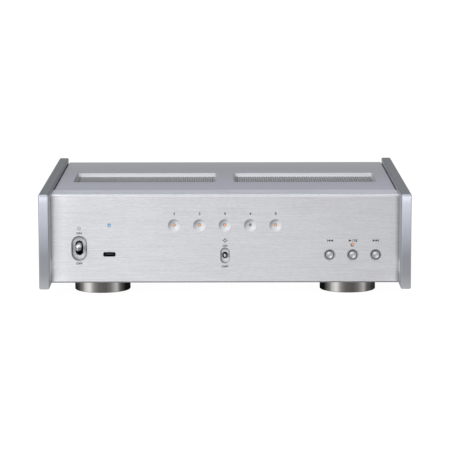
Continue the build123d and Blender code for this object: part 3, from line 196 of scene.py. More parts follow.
# %% A recipe for one finish
class Paint(Graph):
    """The graph of one material; x, y and z are its surface's place in millimetres."""

    def __init__(self, name):
        self.material = bpy.data.materials.new(name)
        self.material.use_nodes = True
        super().__init__(self.material.node_tree)
        self.place = self.add("ShaderNodeTexCoord", {}, {}, "Object")
        settings, sockets = {"operation": "SCALE"}, {0: self.place, "Scale": 1 / MM}
        split = {"Vector": self.add("ShaderNodeVectorMath", settings, sockets)}
        self.x = self.add("ShaderNodeSeparateXYZ", {}, split, "X")
        self.y = self.add("ShaderNodeSeparateXYZ", {}, split, "Y")
        self.z = self.add("ShaderNodeSeparateXYZ", {}, split, "Z")

    def noise(self, stretch, scale=1.0, detail=2.0, rough=0.5):
        """Noise about 0.5; stretch says how many features there are to a metre."""
        vector = self.add(
            "ShaderNodeVectorMath",
            {"operation": "MULTIPLY"},
            {0: self.place, 1: Vector(stretch)},
        )
        sockets = {"Vector": vector, "Scale": scale, "Detail": detail, "Roughness": rough}
        return self.add("ShaderNodeTexNoise", {}, sockets, 0)

    def speckle(self, scale, detail=2.0):
        """Noise about 0 that is as fine along all three axes."""
        return self.noise((1, 1, 1), scale, detail) - 0.5

    def away(self, centre_x, centre_z):
        """The distance from a line that runs back through (x, z)."""
        return ((self.x - centre_x) ** 2 + (self.z - centre_z) ** 2) ** 0.5

    def facing(self, axis):
        """How far the surface's own normal points along X, Y or Z."""
        normal = self.add("ShaderNodeTexCoord", {}, {}, "Normal")
        return self.add("ShaderNodeSeparateXYZ", {}, {"Vector": normal}, axis)

    def bump(self, height, distance, strength):
        sockets = {"Height": height, "Distance": distance * MM, "Strength": strength}
        return self.add("ShaderNodeBump", {}, sockets, "Normal")

    def finish(self, **looks):
        """Closes the graph with a Principled surface and returns the material."""
        names = {name.replace(" ", "_").lower(): name for name in PRINCIPLED}
        sockets = {}
        for key, value in looks.items():
            is_shade = key in ("base_color", "emission_color")
            sockets[names[key]] = shade_of(value) if is_shade else value
        surface = self.add("ShaderNodeBsdfPrincipled", {}, sockets)
        self.close("ShaderNodeOutputMaterial", surface)
        return self.material


PRINCIPLED = (
    "Base Color",
    "Metallic",
    "Roughness",
    "Normal",
    "Specular IOR Level",
    "Coat Weight",
    "Sheen Weight",
    "Sheen Roughness",
    "Emission Color",
    "Emission Strength",
)


def colour(shade):
    """A grey level or three linear parts as a tuple of three."""
    return (shade, shade, shade) if isinstance(shade, float) else tuple(shade)


def shade_of(value):
    return value if isinstance(value, Wire) else (*colour(value), 1.0)


def wear(node_names, material):
    """Gives CAD nodes a material; their shape and place aren't touched."""
    for name in node_names:
        nodes[name].data.materials.clear()
        nodes[name].data.materials.append(material)


print("material recipes are ready")

# %% [markdown]
# Places that several steps share are read from the frame where a node gives
# them, and otherwise written once here, in millimetres, as the drawing has them.

# %% Places on the front
def box_of(node):
    """The low and high corners of a CAD node in millimetres."""
    return [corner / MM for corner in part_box(node)]


panel_low, panel_high = box_of("front_panel")
cover_low, cover_high = box_of("top_cover")
plate_low, plate_high = box_of("side_plate_left")
face_y = panel_low.y
dimple_x = [-40.0, -20.0, 0.0, 20.0, 40.0]
dimple_z = 56.3
button_x = [82.6, 100.8, 119.0]
button_z = 32.65
button_dish_radius, button_gap_radius = 4.6, 3.5
power_x, power_z = -115.05, 38.1
dimmer_x, dimmer_z = 0.0, 32.3
# centre x and z, width, height, level of light
recesses = [(power_x, power_z, 12.4, 20.1, 0.84), (dimmer_x, dimmer_z, 7.4, 12.7, 0.76)]
status_x, play_light_z = -91.25, 40.9
# centre x and z, radius, and a painted colour: the status light's blue glow on
# its bore rim, and a painted shade round the play light
bore_rim_glow_and_shade = [
    (status_x, dimple_z + 0.35, 1.3, (0.16, 0.27, 0.55)),
    (button_x[1] - 0.4, play_light_z - 0.3, 1.3, (0.16, 0.15, 0.15)),
]
feet = ("front_left", "front_right", "rear")
print("front face at", round(face_y, 2), "mm; plates", tuple(round(v, 1) for v in plate_low))

# %% [markdown]
# The front panel is a machined aluminium bar, brushed sideways before it was
# anodised. Brushing is thousands of thin scratches, so the noise that draws it is
# stretched: few features to a metre along X and hundreds along Z. A real brushed
# face spreads light up and down only, so its ends stay bright close to the side
# plates. The renderer's round highlight picks up the plates there instead, so a
# ramp over X paints light onto the ends, with a painted shade right against each
# plate. It also holds a painted fall of light from left to right.

# %% Brushed front panel
def across_panel(paint):
    """The panel's colour: a level of light for each x."""
    # Painted light: lighter ends, a painted shade right by each plate, and a fall of light
    # from left to right.
    levels = [
        (-136.9, 0.58),
        (-136.0, 0.62),
        (-134.9, 0.90),
        (-133.6, 1.0),
        (-131.6, 1.0),
        (-128.4, 0.955),
        (-124.0, 0.84),
        (-117.0, 0.762),
        (-112.0, 0.740),
        (-97.0, 0.728),
        (-65.0, 0.717),
        (-34.0, 0.689),
        (0.0, 0.668),
        (28.0, 0.662),
        (60.0, 0.639),
        (91.0, 0.611),
        (107.0, 0.605),
        (120.0, 0.618),
        (126.0, 0.640),
        (131.5, 0.690),
        (133.6, 0.74),
        (134.9, 0.66),
        (136.2, 0.46),
    ]
    wide = panel_high.x - panel_low.x
    cool = (1.0, 1.003, 1.036)
    stops = [((x - panel_low.x) / wide, [level * c for c in cool]) for x, level in levels]
    return paint.ramp(stops, paint.x.share(panel_low.x, panel_high.x))


def dished(paint, centre_x, centre_z, width, height, level):
    """A long recess: its place as a mask, and painted shade from a dark rim inwards."""
    radius = width / 2
    aside = (paint.x - centre_x) / radius
    above = (paint.z - centre_z) / height
    along = (above.size() * height - (height / 2 - radius)).most(0) / radius
    away = (aside**2 + along**2) ** 0.5
    # Painted shade and light: a dark rim, shaded flanks where the lever's shadow falls, a
    # shaded top, and a lit lower end, lighter to the right.
    rim = away.step(0.62, 1.02) * (0.52 - aside * 0.08)
    shaded_flanks = above.size().step(0.22, 0.02) * 0.32
    shaded_top = above.step(0.25, 0.425) * 0.26
    lit_bottom = above.step(0.0, -0.25) * (0.06 + aside * 0.30)
    shade = (0.84 - rim) * (1.0 - shaded_flanks - shaded_top + lit_bottom) * level
    return away.step(1.03, 1.0), shade


def brushed_panel():
    paint = Paint("brushed_panel")
    short_streaks = paint.noise((340, 400, 1900), detail=1.0) - 0.5
    long_streaks = paint.noise((36, 400, 1700), detail=1.0) - 0.5
    brush = short_streaks * 0.36 + long_streaks * 0.35
    depth, drop = paint.y - face_y, panel_high.z - paint.z
    milled = depth.step(0.04, 0.12) * drop.step(1.0, 1.3)
    # Painted shade in the milled dishes, as if lit from the upper left: walls on the upper
    # left are darker, walls on the lower right a little lighter.
    lean = (paint.facing("X") - paint.facing("Z")) * 0.7
    dish_shade = 0.645 - lean.most(0) * 0.5 + (-lean).most(0) * 0.1
    for recess in recesses:
        inside, shade = dished(paint, *recess)
        dish_shade = dish_shade * (1.0 - inside) + shade * inside
    # Painted shade in each button's cone, darkest at the gap round the button.
    cone, gap_shadow = 0, 0
    for centre_x in button_x:
        away = paint.away(centre_x, button_z)
        cone = away.step(button_dish_radius + 0.15, button_dish_radius + 0.05) + cone
        gap_shadow = away.step(button_gap_radius + 0.15, button_gap_radius - 0.15) + gap_shadow
    cone = cone * milled
    dish_shade = dish_shade * (1.0 - cone) + (0.50 - gap_shadow * 0.36) * cone
    # A painted highlight line along the top edge, where the metal is also smoother.
    top_edge_highlight = drop.near(1.1, 0.5, 0.2) * depth.step(0.95, 0.65)
    # Painted shade on the bottom chamfer, under the panel.
    low_edge_shade = (paint.z - panel_low.z).step(1.1, 0.7)
    # The top faces get a painted tone of their own, cooler than the front, for the different
    # light falling on them.
    on_top = paint.facing("Z").step(0.6, 0.95)
    grain = 1.0 + brush * 0.7
    base = paint.tint(across_panel(paint), grain)
    # Painted light on the bore rims: a blue glow round the status light, shade round the play
    # light.
    for centre_x, centre_z, radius, shade in bore_rim_glow_and_shade:
        rim = paint.away(centre_x, centre_z).step(radius + 0.2, radius - 0.1)
        base = paint.mix(rim, base, shade)
    base = paint.mix(on_top, base, paint.tint((0.74, 0.75, 0.80), grain))
    base = paint.mix(milled, base, paint.tint((1.0, 1.01, 1.03), dish_shade))
    base = paint.mix(top_edge_highlight, base, (0.80, 0.805, 0.82))
    base = paint.mix(low_edge_shade, base, (0.21, 0.21, 0.22))
    return paint.finish(
        base_color=base,
        metallic=1.0 - milled * 0.8,
        roughness=0.40 + brush * 0.25 + milled * 0.2 - top_edge_highlight * 0.08,
        normal=paint.bump(brush * (1.0 - milled), 0.03, 0.25),
    )


wear(["front_panel"], brushed_panel())
print("front panel: brushed, with milled dishes")

# %% [markdown]
# The two side plates are the same alloy, but blasted with fine beads instead of
# brushed, which leaves an even, satin grain with a cold tint. The rest of their
# colour is painted light: a fall of light down their front ends towards the floor,
# a painted shade on the long top edges and on the left plate's inner side, a
# painted glint on each inner side, and on the right plate a tone that is lighter
# high up and darker low down.

# %% Blasted side plates
def blasted_plate():
    paint = Paint("blasted_plate")
    grain, cloud = paint.speckle(2600.0), paint.speckle(14.0, 1.0)
    ahead, above = -paint.facing("Y"), paint.facing("Z")
    front = ahead.step(0.75, 0.97).most(ahead.step(0.3, 0.6) * above.step(0.2, 0.5))
    # A painted shade on the long top edges.
    top = above.step(0.15, 0.5) * (1.0 - front)
    height_share = paint.z.share(plate_low.z, plate_high.z)
    # Painted light down the front ends: a fall towards the floor, a highlight just under the
    # top edge.
    stops = [
        (0.0, (0.455, 0.465, 0.485)),
        (0.16, (0.32, 0.33, 0.35)),
        (0.34, (0.30, 0.31, 0.34)),
        (0.62, (0.46, 0.48, 0.54)),
        (0.9, (0.62, 0.645, 0.72)),
        (0.962, (0.80, 0.83, 0.92)),
        (0.978, (0.66, 0.69, 0.76)),
        (1.0, (0.30, 0.31, 0.33)),
    ]
    fade = paint.ramp(stops, height_share)
    # A painted glint on each inner side, and a painted shade on the left plate's inner side.
    inner_face = paint.x.size().step(138.0, 137.3)
    glint = paint.y.near(-105.0, 4.0, 3.0) * paint.z.near(25.0, 3.0, 4.0) * inner_face
    shaded = paint.facing("X").step(0.5, 0.9) * paint.x.step(10.0, -10.0)
    tone = 1.0 + grain * 0.16 + cloud * 0.05 - shaded * 0.28
    # Painted light on the right plate: lighter high up, darker low down.
    tone = tone + paint.x.most(0) * MM * (height_share - 0.45)
    base = paint.mix(front, (0.36, 0.37, 0.395), fade)
    base = paint.mix(top, base, (0.197, 0.207, 0.219))
    base = paint.mix(glint * 0.8, base, (0.97, 0.97, 0.98))
    return paint.finish(
        base_color=paint.tint(base, tone),
        metallic=0.9,
        roughness=0.46 + grain * 0.12,
        normal=paint.bump(grain, 0.02, 0.5),
    )


wear(["side_plate_left", "side_plate_right"], blasted_plate())
print("side plates: bead blasted")

# %% [markdown]
# The top cover is a 3 mm sheet with two long windows. It is brushed from side to
# side too, more lightly, and lies almost edge on to the camera, where every
# metal mirrors what is low behind it. So its colour is given a painted fall of
# light towards the back, and the windows' cut walls, which catch the lamp, are
# painted lighter: the rear walls most, and end walls that face the lamp a little
# more than those facing away.

# %% Brushed top cover
def brushed_cover():
    paint = Paint("brushed_cover")
    long_streaks = paint.noise((12, 520, 300), detail=3.0) - 0.5
    fine_streaks = paint.noise((90, 1600, 900), detail=1.0) - 0.5
    brush = long_streaks * 0.5 + fine_streaks * 0.35
    # Painted light: darker towards the back, then a little lighter at the very back.
    stops = [
        (0.0, (0.56, 0.572, 0.65)),
        (0.25, (0.53, 0.542, 0.62)),
        (0.55, (0.47, 0.48, 0.54)),
        (0.75, (0.475, 0.478, 0.50)),
        (1.0, (0.54, 0.54, 0.56)),
    ]
    light_fall = paint.ramp(stops, paint.y.share(cover_low.y, cover_high.y))
    # Painted light on the windows' cut walls: lightest on the rear walls, which face the lamp.
    wall = paint.facing("Z").step(0.8, 0.4)
    lit_wall = (-paint.facing("Y")).step(0.35, 0.9)
    end_wall = 0.36 + (-paint.facing("X")).most(0) * 0.08
    wall_tone = paint.tint((1.0, 1.005, 1.02), end_wall + (0.82 - end_wall) * lit_wall)
    base = paint.tint(light_fall, 1.0 + brush * 0.22)
    base = paint.mix(wall, base, wall_tone)
    return paint.finish(
        base_color=base,
        metallic=0.95 - wall * 0.85,
        roughness=0.36 + brush * 0.2,
        normal=paint.bump(brush, 0.03, 0.3),
    )


wear(["top_cover"], brushed_cover())
print("top cover: brushed")

# %% [markdown]
# Under each window lies a perforated steel sheet, with rows of round holes set
# in a stagger. The CAD model keeps fewer, coarser ones. Cutting hundreds of holes
# with booleans would be slow, so the sheet is built from hexagonal cells that
# share their corners: twelve quads join each cell's outline to its hole on the
# top and on the underside, and twelve more are the hole's wall. A faint wave of
# painted shade follows the columns, so that the rows of holes read from afar. The
# holes' walls are painted near black, as shade; the steel is painted lighter
# towards the back, a painted reflection of the bright rear wall, and darker at
# the windows' ends and towards the outer ends, as shade.

# %% A builder for meshes
def piece(name, points, faces, body, material):
    """A mesh object from points in millimetres, riding on a CAD body."""
    mesh = bpy.data.meshes.new(name)
    mesh.from_pydata([tuple(c * MM for c in point) for point in points], [], faces)
    mesh.update()
    mesh.validate()
    mesh.materials.append(material)
    made = bpy.data.objects.new(name, mesh)
    bpy.context.scene.collection.objects.link(made)
    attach(made, body)
    return made


print("meshes take their points in millimetres")


# %% Steel of the perforated sheet
window_x = (7.0, 124.4)
window_y = (-22.5, 36.5)
hole_pitch, hole_radius = 3.74, 1.40
solid_end, solid_side = 0.72, 0.2
first_hole_x = window_x[0] + solid_end + hole_pitch / 2


def mesh_steel():
    paint = Paint("mesh_steel")
    grain = paint.speckle(900.0)
    flat = paint.facing("Z").size().step(0.3, 0.7)
    toward_back = paint.y.share(*window_y).most(0)
    aside = paint.x.size()
    edge_x = [side * x for side in (-1, 1) for x in window_x]
    inner_left, outer_left, inner_right, outer_right = (
        paint.x.near(x, 2.8, 1.5) for x in edge_x
    )
    left_end_shade, right_end_shade = outer_left.most(inner_right), outer_right.most(inner_left)
    # Painted light: lighter towards the back, a painted reflection of the rear wall; painted
    # shade at the windows' ends and towards the outer ends.
    lit = 0.72 + toward_back * 0.475 + grain * 0.3 - aside.step(80.0, 124.0) * 0.08
    lit = lit * (1.0 - left_end_shade * 0.38 - right_end_shade * 0.16)
    # A faint wave of painted shade along the columns of holes.
    turn = (aside - first_hole_x) * (math.tau / (hole_pitch / 2))
    lit = lit * (1.0 + turn.math("COSINE") * 0.1)
    # The holes' walls are painted near black, as shade.
    base = paint.mix(flat, (0.04, 0.04, 0.042), (0.52, 0.52, 0.53))
    return paint.finish(
        base_color=paint.tint(base, lit),
        metallic=0.6,
        roughness=0.5 + grain * 0.2,
        normal=paint.bump(grain, 0.02, 0.3),
    )


mesh_finish = mesh_steel()
print("mesh steel: columns of holes", hole_pitch / 2, "mm apart")


# %% Perforated sheet
def box_faces(points, low, high):
    """Adds a box's corners to points, and returns its six faces."""
    base = len(points)
    for z in (low[2], high[2]):
        points.extend([(low[0], low[1], z), (high[0], low[1], z)])
        points.extend([(high[0], high[1], z), (low[0], high[1], z)])
    faces = [tuple(base + k for k in (3, 2, 1, 0)), tuple(base + k for k in (4, 5, 6, 7))]
    for k in range(4):
        n = (k + 1) % 4
        faces.append((base + k, base + n, base + n + 4, base + k + 4))
    return faces


def perforated(name, node, window, pitch, radius, material):
    """A sheet in a node's box, with staggered round holes over the window's area."""
    low, high = box_of(node)
    left, right, front, back = window
    corner = pitch / math.sqrt(3)
    row_step = corner * 1.5
    columns = int((right - left) / pitch)
    rows = int((back - front - corner * 2) / row_step) + 1
    start_x = (left + right) / 2 - (columns - 1) * pitch / 2
    start_y = (front + back) / 2 - (rows - 1) * row_step / 2
    turns = 12
    angles = [math.tau * (k + 1) / turns for k in range(turns)]
    rays = [(math.cos(angle), math.sin(angle)) for angle in angles]
    outline = [(c * r, s * r) for (c, s), r in zip(rays, [corner, pitch / 2] * (turns // 2))]
    hole = [(c * radius, s * radius) for c, s in rays]
    points, faces, known, edges = [], [], {}, {}

    def point(x, y, z):
        key = (round(x, 3), round(y, 3), round(z, 3))
        if key not in known:
            known[key] = len(points)
            points.append((x, y, z))
        return known[key]

    def corners(x, y, shape):
        """A flat shape's points about (x, y), on the sheet's top and underside."""
        return ([point(x + u, y + v, z) for u, v in shape] for z in (high.z, low.z))

    for row in range(rows):
        odd = row % 2
        for column in range(-odd, columns):
            x, y = start_x + (column + odd / 2) * pitch, start_y + row * row_step
            top_out, low_out = corners(x, y, outline)
            if odd and column in (-1, columns - 1):
                faces.extend([tuple(top_out), tuple(reversed(low_out))])
            else:
                top_in, low_in = corners(x, y, hole)
                for k in range(turns):
                    n = (k + 1) % turns
                    faces.append((top_out[k], top_out[n], top_in[n], top_in[k]))
                    faces.append((low_out[n], low_out[k], low_in[k], low_in[n]))
                    faces.append((top_in[k], top_in[n], low_in[n], low_in[k]))
            for k in range(turns):
                n = (k + 1) % turns
                wall = (low_out[k], low_out[n], top_out[n], top_out[k])
                edges.setdefault(frozenset((top_out[k], top_out[n])), []).append(wall)
    faces.extend(walls[0] for walls in edges.values() if len(walls) == 1)
    holes_left, holes_right = start_x - pitch / 2, start_x + (columns - 0.5) * pitch
    holes_front = start_y - corner / 2
    holes_back = start_y + (rows - 1) * row_step + corner / 2
    rim_drop, overlap = 0.02, 0.05
    rim = [
        ((low.x, low.y), (high.x, holes_front)),
        ((low.x, holes_back), (high.x, high.y)),
        ((low.x, holes_front), (holes_left + overlap, holes_back)),
        ((holes_right - overlap, holes_front), (high.x, holes_back)),
    ]
    for near, far in rim:
        faces.extend(box_faces(points, (*near, low.z), (*far, high.z - rim_drop)))
    made = piece(name, points, faces, "case", material)
    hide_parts(node)
    print(name, "faces:", len(faces))


for side, node in ((-1, "vent_mesh_left"), (1, "vent_mesh_right")):
    ends = sorted((side * (window_x[0] + solid_end), side * (window_x[1] - solid_end)))
    window = (*ends, window_y[0] + solid_side, window_y[1] - solid_side)
    perforated(f"fine_{node}", node, window, hole_pitch, hole_radius, mesh_finish)

# %% [markdown]
# The feet are turned and plated in a dark chrome. A polished cylinder squeezes
# the whole room into vertical bands, black at one side with one white stripe,
# so such bands are painted across the foot as a painted reflection, over a fine
# turning grain. The two front feet see different sides of the room, so their ends
# are swapped. The underside and the ledge that faces down get a painted shade.

# %% Turned feet
def turned_foot(corner):
    paint = Paint(f"turned_foot_{corner}")
    low, high = box_of(f"foot_{corner}")
    across = paint.x.share(low.x, high.x)
    # Painted reflection: the room's bands as levels across the foot.
    reflection_bands = [
        (0.10, 0.125),
        (0.165, 0.22),
        (0.185, 0.42),
        (0.22, 0.64),
        (0.275, 0.82),
        (0.31, 0.67),
        (0.345, 0.37),
        (0.39, 0.22),
        (0.45, 0.135),
        (0.52, 0.115),
        (0.58, 0.105),
        (0.66, 0.175),
        (0.72, 0.34),
        (0.775, 0.49),
        (0.80, 0.27),
        (0.84, 0.10),
    ]
    dark, grey = [(0.0, 0.014), (0.07, 0.020)], [(0.0, 0.085), (0.05, 0.10)]
    if corner == "front_right":
        left, right, last_level, plating = dark, grey, 0.095, 0.85
    else:
        left, right, last_level, plating = grey, dark, 0.035, 0.93
    mirrored = [(1.0 - place, level) for place, level in reversed(right)]
    warm = (plating, plating * 0.975, plating * 0.945)
    reflection_bands = left + reflection_bands + [(0.90, last_level)] + mirrored
    stops = [(place, [level * c for c in warm]) for place, level in reflection_bands]
    reflection_band = paint.ramp(stops, across)
    turning = paint.noise((3, 3, 1500)) - 0.5
    # Painted shade on the underside and on the ledge that faces down.
    below = -paint.facing("Z")
    under = below.step(0.4, 0.8)
    ledge = below.step(0.3, 0.6) * (1.0 - under)
    base = paint.tint(reflection_band, 1.0 + turning * 0.2 - ledge * 0.5)
    base = paint.mix(under, base, (0.05, 0.05, 0.05))
    rounded = (across - 0.5).size().step(0.44, 0.34)
    return paint.finish(
        base_color=base,
        metallic=rounded,
        roughness=0.2 + turning * 0.1,
        specular_ior_level=0.0,
        normal=paint.bump(turning, 0.01, 0.2),
    )


for corner in feet:
    wear([f"foot_{corner}"], turned_foot(corner))
print("feet: dark chrome, turned")

# %% [markdown]
# Most of the remaining metal is seen small: screws, chassis, jacks, springs. One
# recipe serves them, with a tone, a grain size and an optional direction for the
# scratches, and no two finishes get the same numbers.

# %% Plain metals
def metal(name, shade, rough=0.35, grain=700.0, stretch=(1, 1, 1), depth=0.25, amount=0.2):
    paint = Paint(name)
    speck = paint.noise(stretch, scale=grain, detail=3.0) - 0.5
    smear = paint.speckle(30.0)
    return paint.finish(
        base_color=paint.tint(shade, 1.0 + speck * amount + smear * 0.12),
        metallic=1.0,
        roughness=rough + speck * 0.15 + smear * 0.1,
        normal=paint.bump(speck, 0.02, depth),
    )


def spangled(name, shade):
    """Galvanised sheet: crystals of zinc, each with its own brightness."""
    paint = Paint(name)
    cells = paint.add(
        "ShaderNodeTexVoronoi",
        {},
        {"Vector": paint.place, "Scale": 140.0, "Randomness": 1.0},
        "Color",
    )
    level = paint.add("ShaderNodeSeparateColor", {}, {"Color": cells}, "Red") - 0.5
    grain = paint.speckle(500.0)
    return paint.finish(
        base_color=paint.tint(shade, 1.0 + level * 0.16 + grain * 0.1),
        metallic=0.95,
        roughness=0.42 + level * 0.14,
        normal=paint.bump(grain, 0.02, 0.2),
    )


wear(["bottom_chassis", "power_switch_flange"], spangled("zinc_sheet", (0.55, 0.56, 0.58)))
wear(
    ["rear_panel"],
    metal("satin_rear_panel", (0.56, 0.57, 0.59), 0.44, 1.0, (20, 600, 900), 0.25, 0.14),
)
wear(
    [f"foot_pin_{corner}" for corner in feet] + ["power_lever_pin"],
    metal("polished_pin", (0.62, 0.62, 0.63), 0.2),
)
screw_nodes = [
    "side_screws",
    "panel_screws",
    "cover_screws",
    "rear_screws",
    "board_screws",
    "control_board_screws",
    "foot_nuts",
    "transformer_bolt",
]
wear(screw_nodes, metal("black_oxide_screws", (0.10, 0.10, 0.105), 0.38, 900.0, amount=0.35))
wear(["transformer_dish"], metal("pressed_dish", (0.5, 0.5, 0.48), 0.36, 300.0))
wear(["supply_heat_sink"], metal("extruded_sink", (0.12, 0.12, 0.13), 0.5, 1.0, (40, 900, 40)))
wear(["coaxial_output"], metal("gilt_jack", (0.83, 0.60, 0.24), 0.2, 900.0, depth=0.1))
wear(["clock_input"], metal("nickel_jack", (0.66, 0.63, 0.58), 0.22, 900.0, depth=0.1))
wear(["board_standoffs"], metal("brass_standoff", (0.72, 0.52, 0.24), 0.32))
wear(["fibre_cage", "usb_a_socket"], metal("tinned_shell", (0.60, 0.61, 0.62), 0.28, 500.0))
wear(["usb_c_socket"], metal("blackened_shell", (0.025, 0.025, 0.027), 0.35, 500.0))
print("plain metals are on")

# %% [markdown]
# Each button has a spun face: a tool turned round its middle, so light falls on it
# in two opposite sectors, like on a vinyl record. Those sectors are a painted
# highlight, drawn by the angle round the button's own centre, the lower one
# brighter; a sine of the distance from it draws the grooves, and the rim round
# the face is painted darker, as shade.

# %% Spun buttons
def spun_button(name, centre_x):
    paint = Paint(f"spun_{name}")
    aside, above = paint.x - centre_x, paint.z - button_z
    away = paint.away(centre_x, button_z)
    beam_angle, groove_pace = 2.06, 21.0
    # Painted highlight: two bright sectors, the lower one brighter.
    turn = above.math("ARCTAN2", aside) - beam_angle
    beam = ((turn * 2).math("COSINE") * 0.5 + 0.5) ** 2
    beam = beam * away.near(1.8, 0.5, 1.0) * (1.15 - above * 0.2)
    rings = (away * groove_pace).math("SINE")
    flecks = paint.speckle(1500.0)
    # Painted shade on the rim round the face.
    flat = away.step(2.75, 2.5)
    shine = (beam * 0.62 + 0.55) * flat + (1.0 - flat) * 0.33
    base = paint.tint((0.72, 0.725, 0.73), shine + rings * 0.04 + flecks * 0.25)
    return paint.finish(
        base_color=base,
        metallic=0.9,
        roughness=0.3 + flecks * 0.1,
        normal=paint.bump(rings, 0.01, 0.3),
    )


for name, centre_x in zip(("previous_button", "play_button", "next_button"), button_x):
    wear([name], spun_button(name, centre_x))
print("buttons: spun faces")

# %% [markdown]
# The two toggle levers are chromed and smooth as glass: a high reflectance, a low
# roughness and a trace of waviness, or they look computed. The room round them is
# emptier than a real one, so part of their light is plain, and what the underside
# of each tip would mirror, a dark table with one bright streak, is painted on.

# %% Chromed levers
def lever_chrome(name, centre_x, low_z, mirror, depth):
    """Chrome with a painted reflection: dark below low_z, as of a dark floor, but for one
    bright streak.
    """
    paint = Paint(name)
    wave = paint.speckle(240.0, 1.0)
    below = paint.z.step(low_z + 0.6, low_z - 0.6)
    streak = paint.x.near(centre_x - 0.7, 0.35, 0.5)
    shade = 1.0 + wave * 0.1 - below * (1.0 - streak * 0.5) * depth
    return paint.finish(
        base_color=paint.tint((0.86, 0.865, 0.875), shade),
        metallic=mirror,
        roughness=0.13 + wave * 0.06,
        normal=paint.bump(wave, 0.05, 0.2),
    )


wear(["power_lever"], lever_chrome("power_chrome", power_x, 41.2, 0.35, 0.78))
wear(["dimmer_lever"], lever_chrome("dimmer_chrome", dimmer_x, dimmer_z + 0.9, 0.85, 0.5))
print("levers: chrome")

# %% [markdown]
# The lights are small rods of clear resin with a diode behind them. A lit one
# glows brightest in its middle, so its emission falls off with the distance from
# its own axis. The idle one is the same resin with no light: dull and grey.

# %% Light rods
def glowing(name, hot, warm, places, strength):
    """Resin that glows at the given places (x, z), fading towards its edge."""
    paint = Paint(name)
    away = paint.away(*places[0])
    for centre_x, centre_z in places[1:]:
        away = away.least(paint.away(centre_x, centre_z))
    haze = paint.noise((1, 1, 1), 900.0, 1.0)
    glow = paint.mix(away.step(0.1, 0.8), hot, warm)
    glow = paint.mix(away.step(0.75, 1.1), glow, (0.0, 0.0, 0.0))
    rim = away.step(0.8, 1.1)
    return paint.finish(
        base_color=paint.mix(rim, paint.tint(warm, 0.2 + haze * 0.1), (0.30, 0.29, 0.28)),
        roughness=0.35 + haze * 0.1,
        specular_ior_level=0.2,
        emission_color=glow,
        emission_strength=strength,
    )


idle_x = dimple_x[3]
lit_places = [(x, dimple_z) for x in dimple_x if x != idle_x] + [(button_x[1], play_light_z)]
amber = glowing("amber_glow", (0.95, 0.40, 0.15), (0.74, 0.34, 0.17), lit_places, 0.95)
blue = glowing("blue_glow", (0.36, 0.80, 1.0), (0.16, 0.38, 0.82), [(status_x, dimple_z)], 1.0)
wear(["indicator_lights", "play_light"], amber)
wear(["status_light"], blue)


def unlit_lens():
    paint = Paint("unlit_lens")
    haze = paint.noise((1, 1, 1), 800.0)
    base = paint.mix(haze, (0.19, 0.20, 0.20), (0.27, 0.28, 0.28))
    return paint.finish(base_color=base, roughness=0.35 + haze * 0.1, coat_weight=0.3)


wear(["idle_indicator_light"], unlit_lens())
print("light rods: amber, blue and idle")

# %% [markdown]
# Moulded plastics share a recipe as well: a near black body, a sparkle of fine
# texture from the mould, and a slightly uneven gloss.

# %% Plastics, rubber and felt
def moulded(name, shade, rough, grain=1800.0):
    paint = Paint(name)
    fine, smear = paint.speckle(grain), paint.speckle(25.0)
    return paint.finish(
        base_color=paint.tint(shade, 1.0 + fine * 0.3 + smear * 0.15),
        roughness=rough + fine * 0.12 + smear * 0.1,
        normal=paint.bump(fine, 0.03, 0.35),
    )


def felt_pad():
    paint = Paint("felt")
    fibres = paint.noise((1, 1, 0.4), scale=2200.0, detail=4.0, rough=0.7) - 0.5
    tufts = paint.speckle(260.0)
    return paint.finish(
        base_color=paint.tint((0.030, 0.030, 0.032), 1.0 + fibres * 1.2 + tufts * 0.5),
        roughness=0.95,
        sheen_weight=0.4,
        sheen_roughness=0.5,
        normal=paint.bump(fibres, 0.2, 0.6),
    )


black_plastic = moulded("black_switch_plastic", (0.012, 0.012, 0.013), 0.5)
wear(["power_switch_body", "dimmer_switch_body", "tact_switches"], black_plastic)
socket_plastic = moulded("black_socket_plastic", (0.022, 0.022, 0.024), 0.42)
wear(["usb_c_tongue", "ethernet_socket", "optical_output", "optical_shutter"], socket_plastic)
wear(["transformer_pad"], moulded("rubber_pad", (0.03, 0.03, 0.03), 0.7, 900.0))
wear([f"foot_pad_{corner}" for corner in feet], felt_pad())
print("plastics, rubber and felt are on")

# %% [markdown]
# The mains inlet is one moulding in the CAD model, blades included. On the real
# one the three blades are nickel plated, so a mask by place picks them out: it
# is 1 inside three small boxes in the recess and 0 elsewhere.

# %% Mains inlet with plated blades
def mains_inlet():
    paint = Paint("mains_inlet")
    inlet_x, inlet_z = -105.0, 45.7
    mouth_y, floor_y = 113.6, 98.2
    blade_half_width, blade_half_height = 1.02, 2.02
    fine = paint.speckle(1800.0)
    blades = 0
    for aside, above in ((-7.0, -2.0), (7.0, -2.0), (0.0, 3.6)):
        wide = paint.x.near(inlet_x + aside, blade_half_width, 0.05)
        tall = paint.z.near(inlet_z + above, blade_half_height, 0.05)
        blades = wide * tall + blades
    blades = blades * paint.y.step(mouth_y + 0.1, mouth_y - 0.1)
    blades = blades * paint.y.step(floor_y - 0.05, floor_y + 0.05)
    black = paint.tint((0.022, 0.022, 0.024), 1.0 + fine * 0.3)
    base = paint.mix(blades, black, (0.66, 0.65, 0.62))
    return paint.finish(
        base_color=base,
        metallic=blades,
        roughness=0.44 - blades * 0.2 + fine * 0.1,
        normal=paint.bump(fine, 0.03, 0.3),
    )


wear(["mains_inlet"], mains_inlet())
print("mains inlet: black, blades plated")

# %% [markdown]
# Circuit boards are green because of the lacquer over their copper. A faint grid
# of tracks shows through it: two sets of thin bars, switched on and off in patches
# by coarse noise, so that no two places look the same.

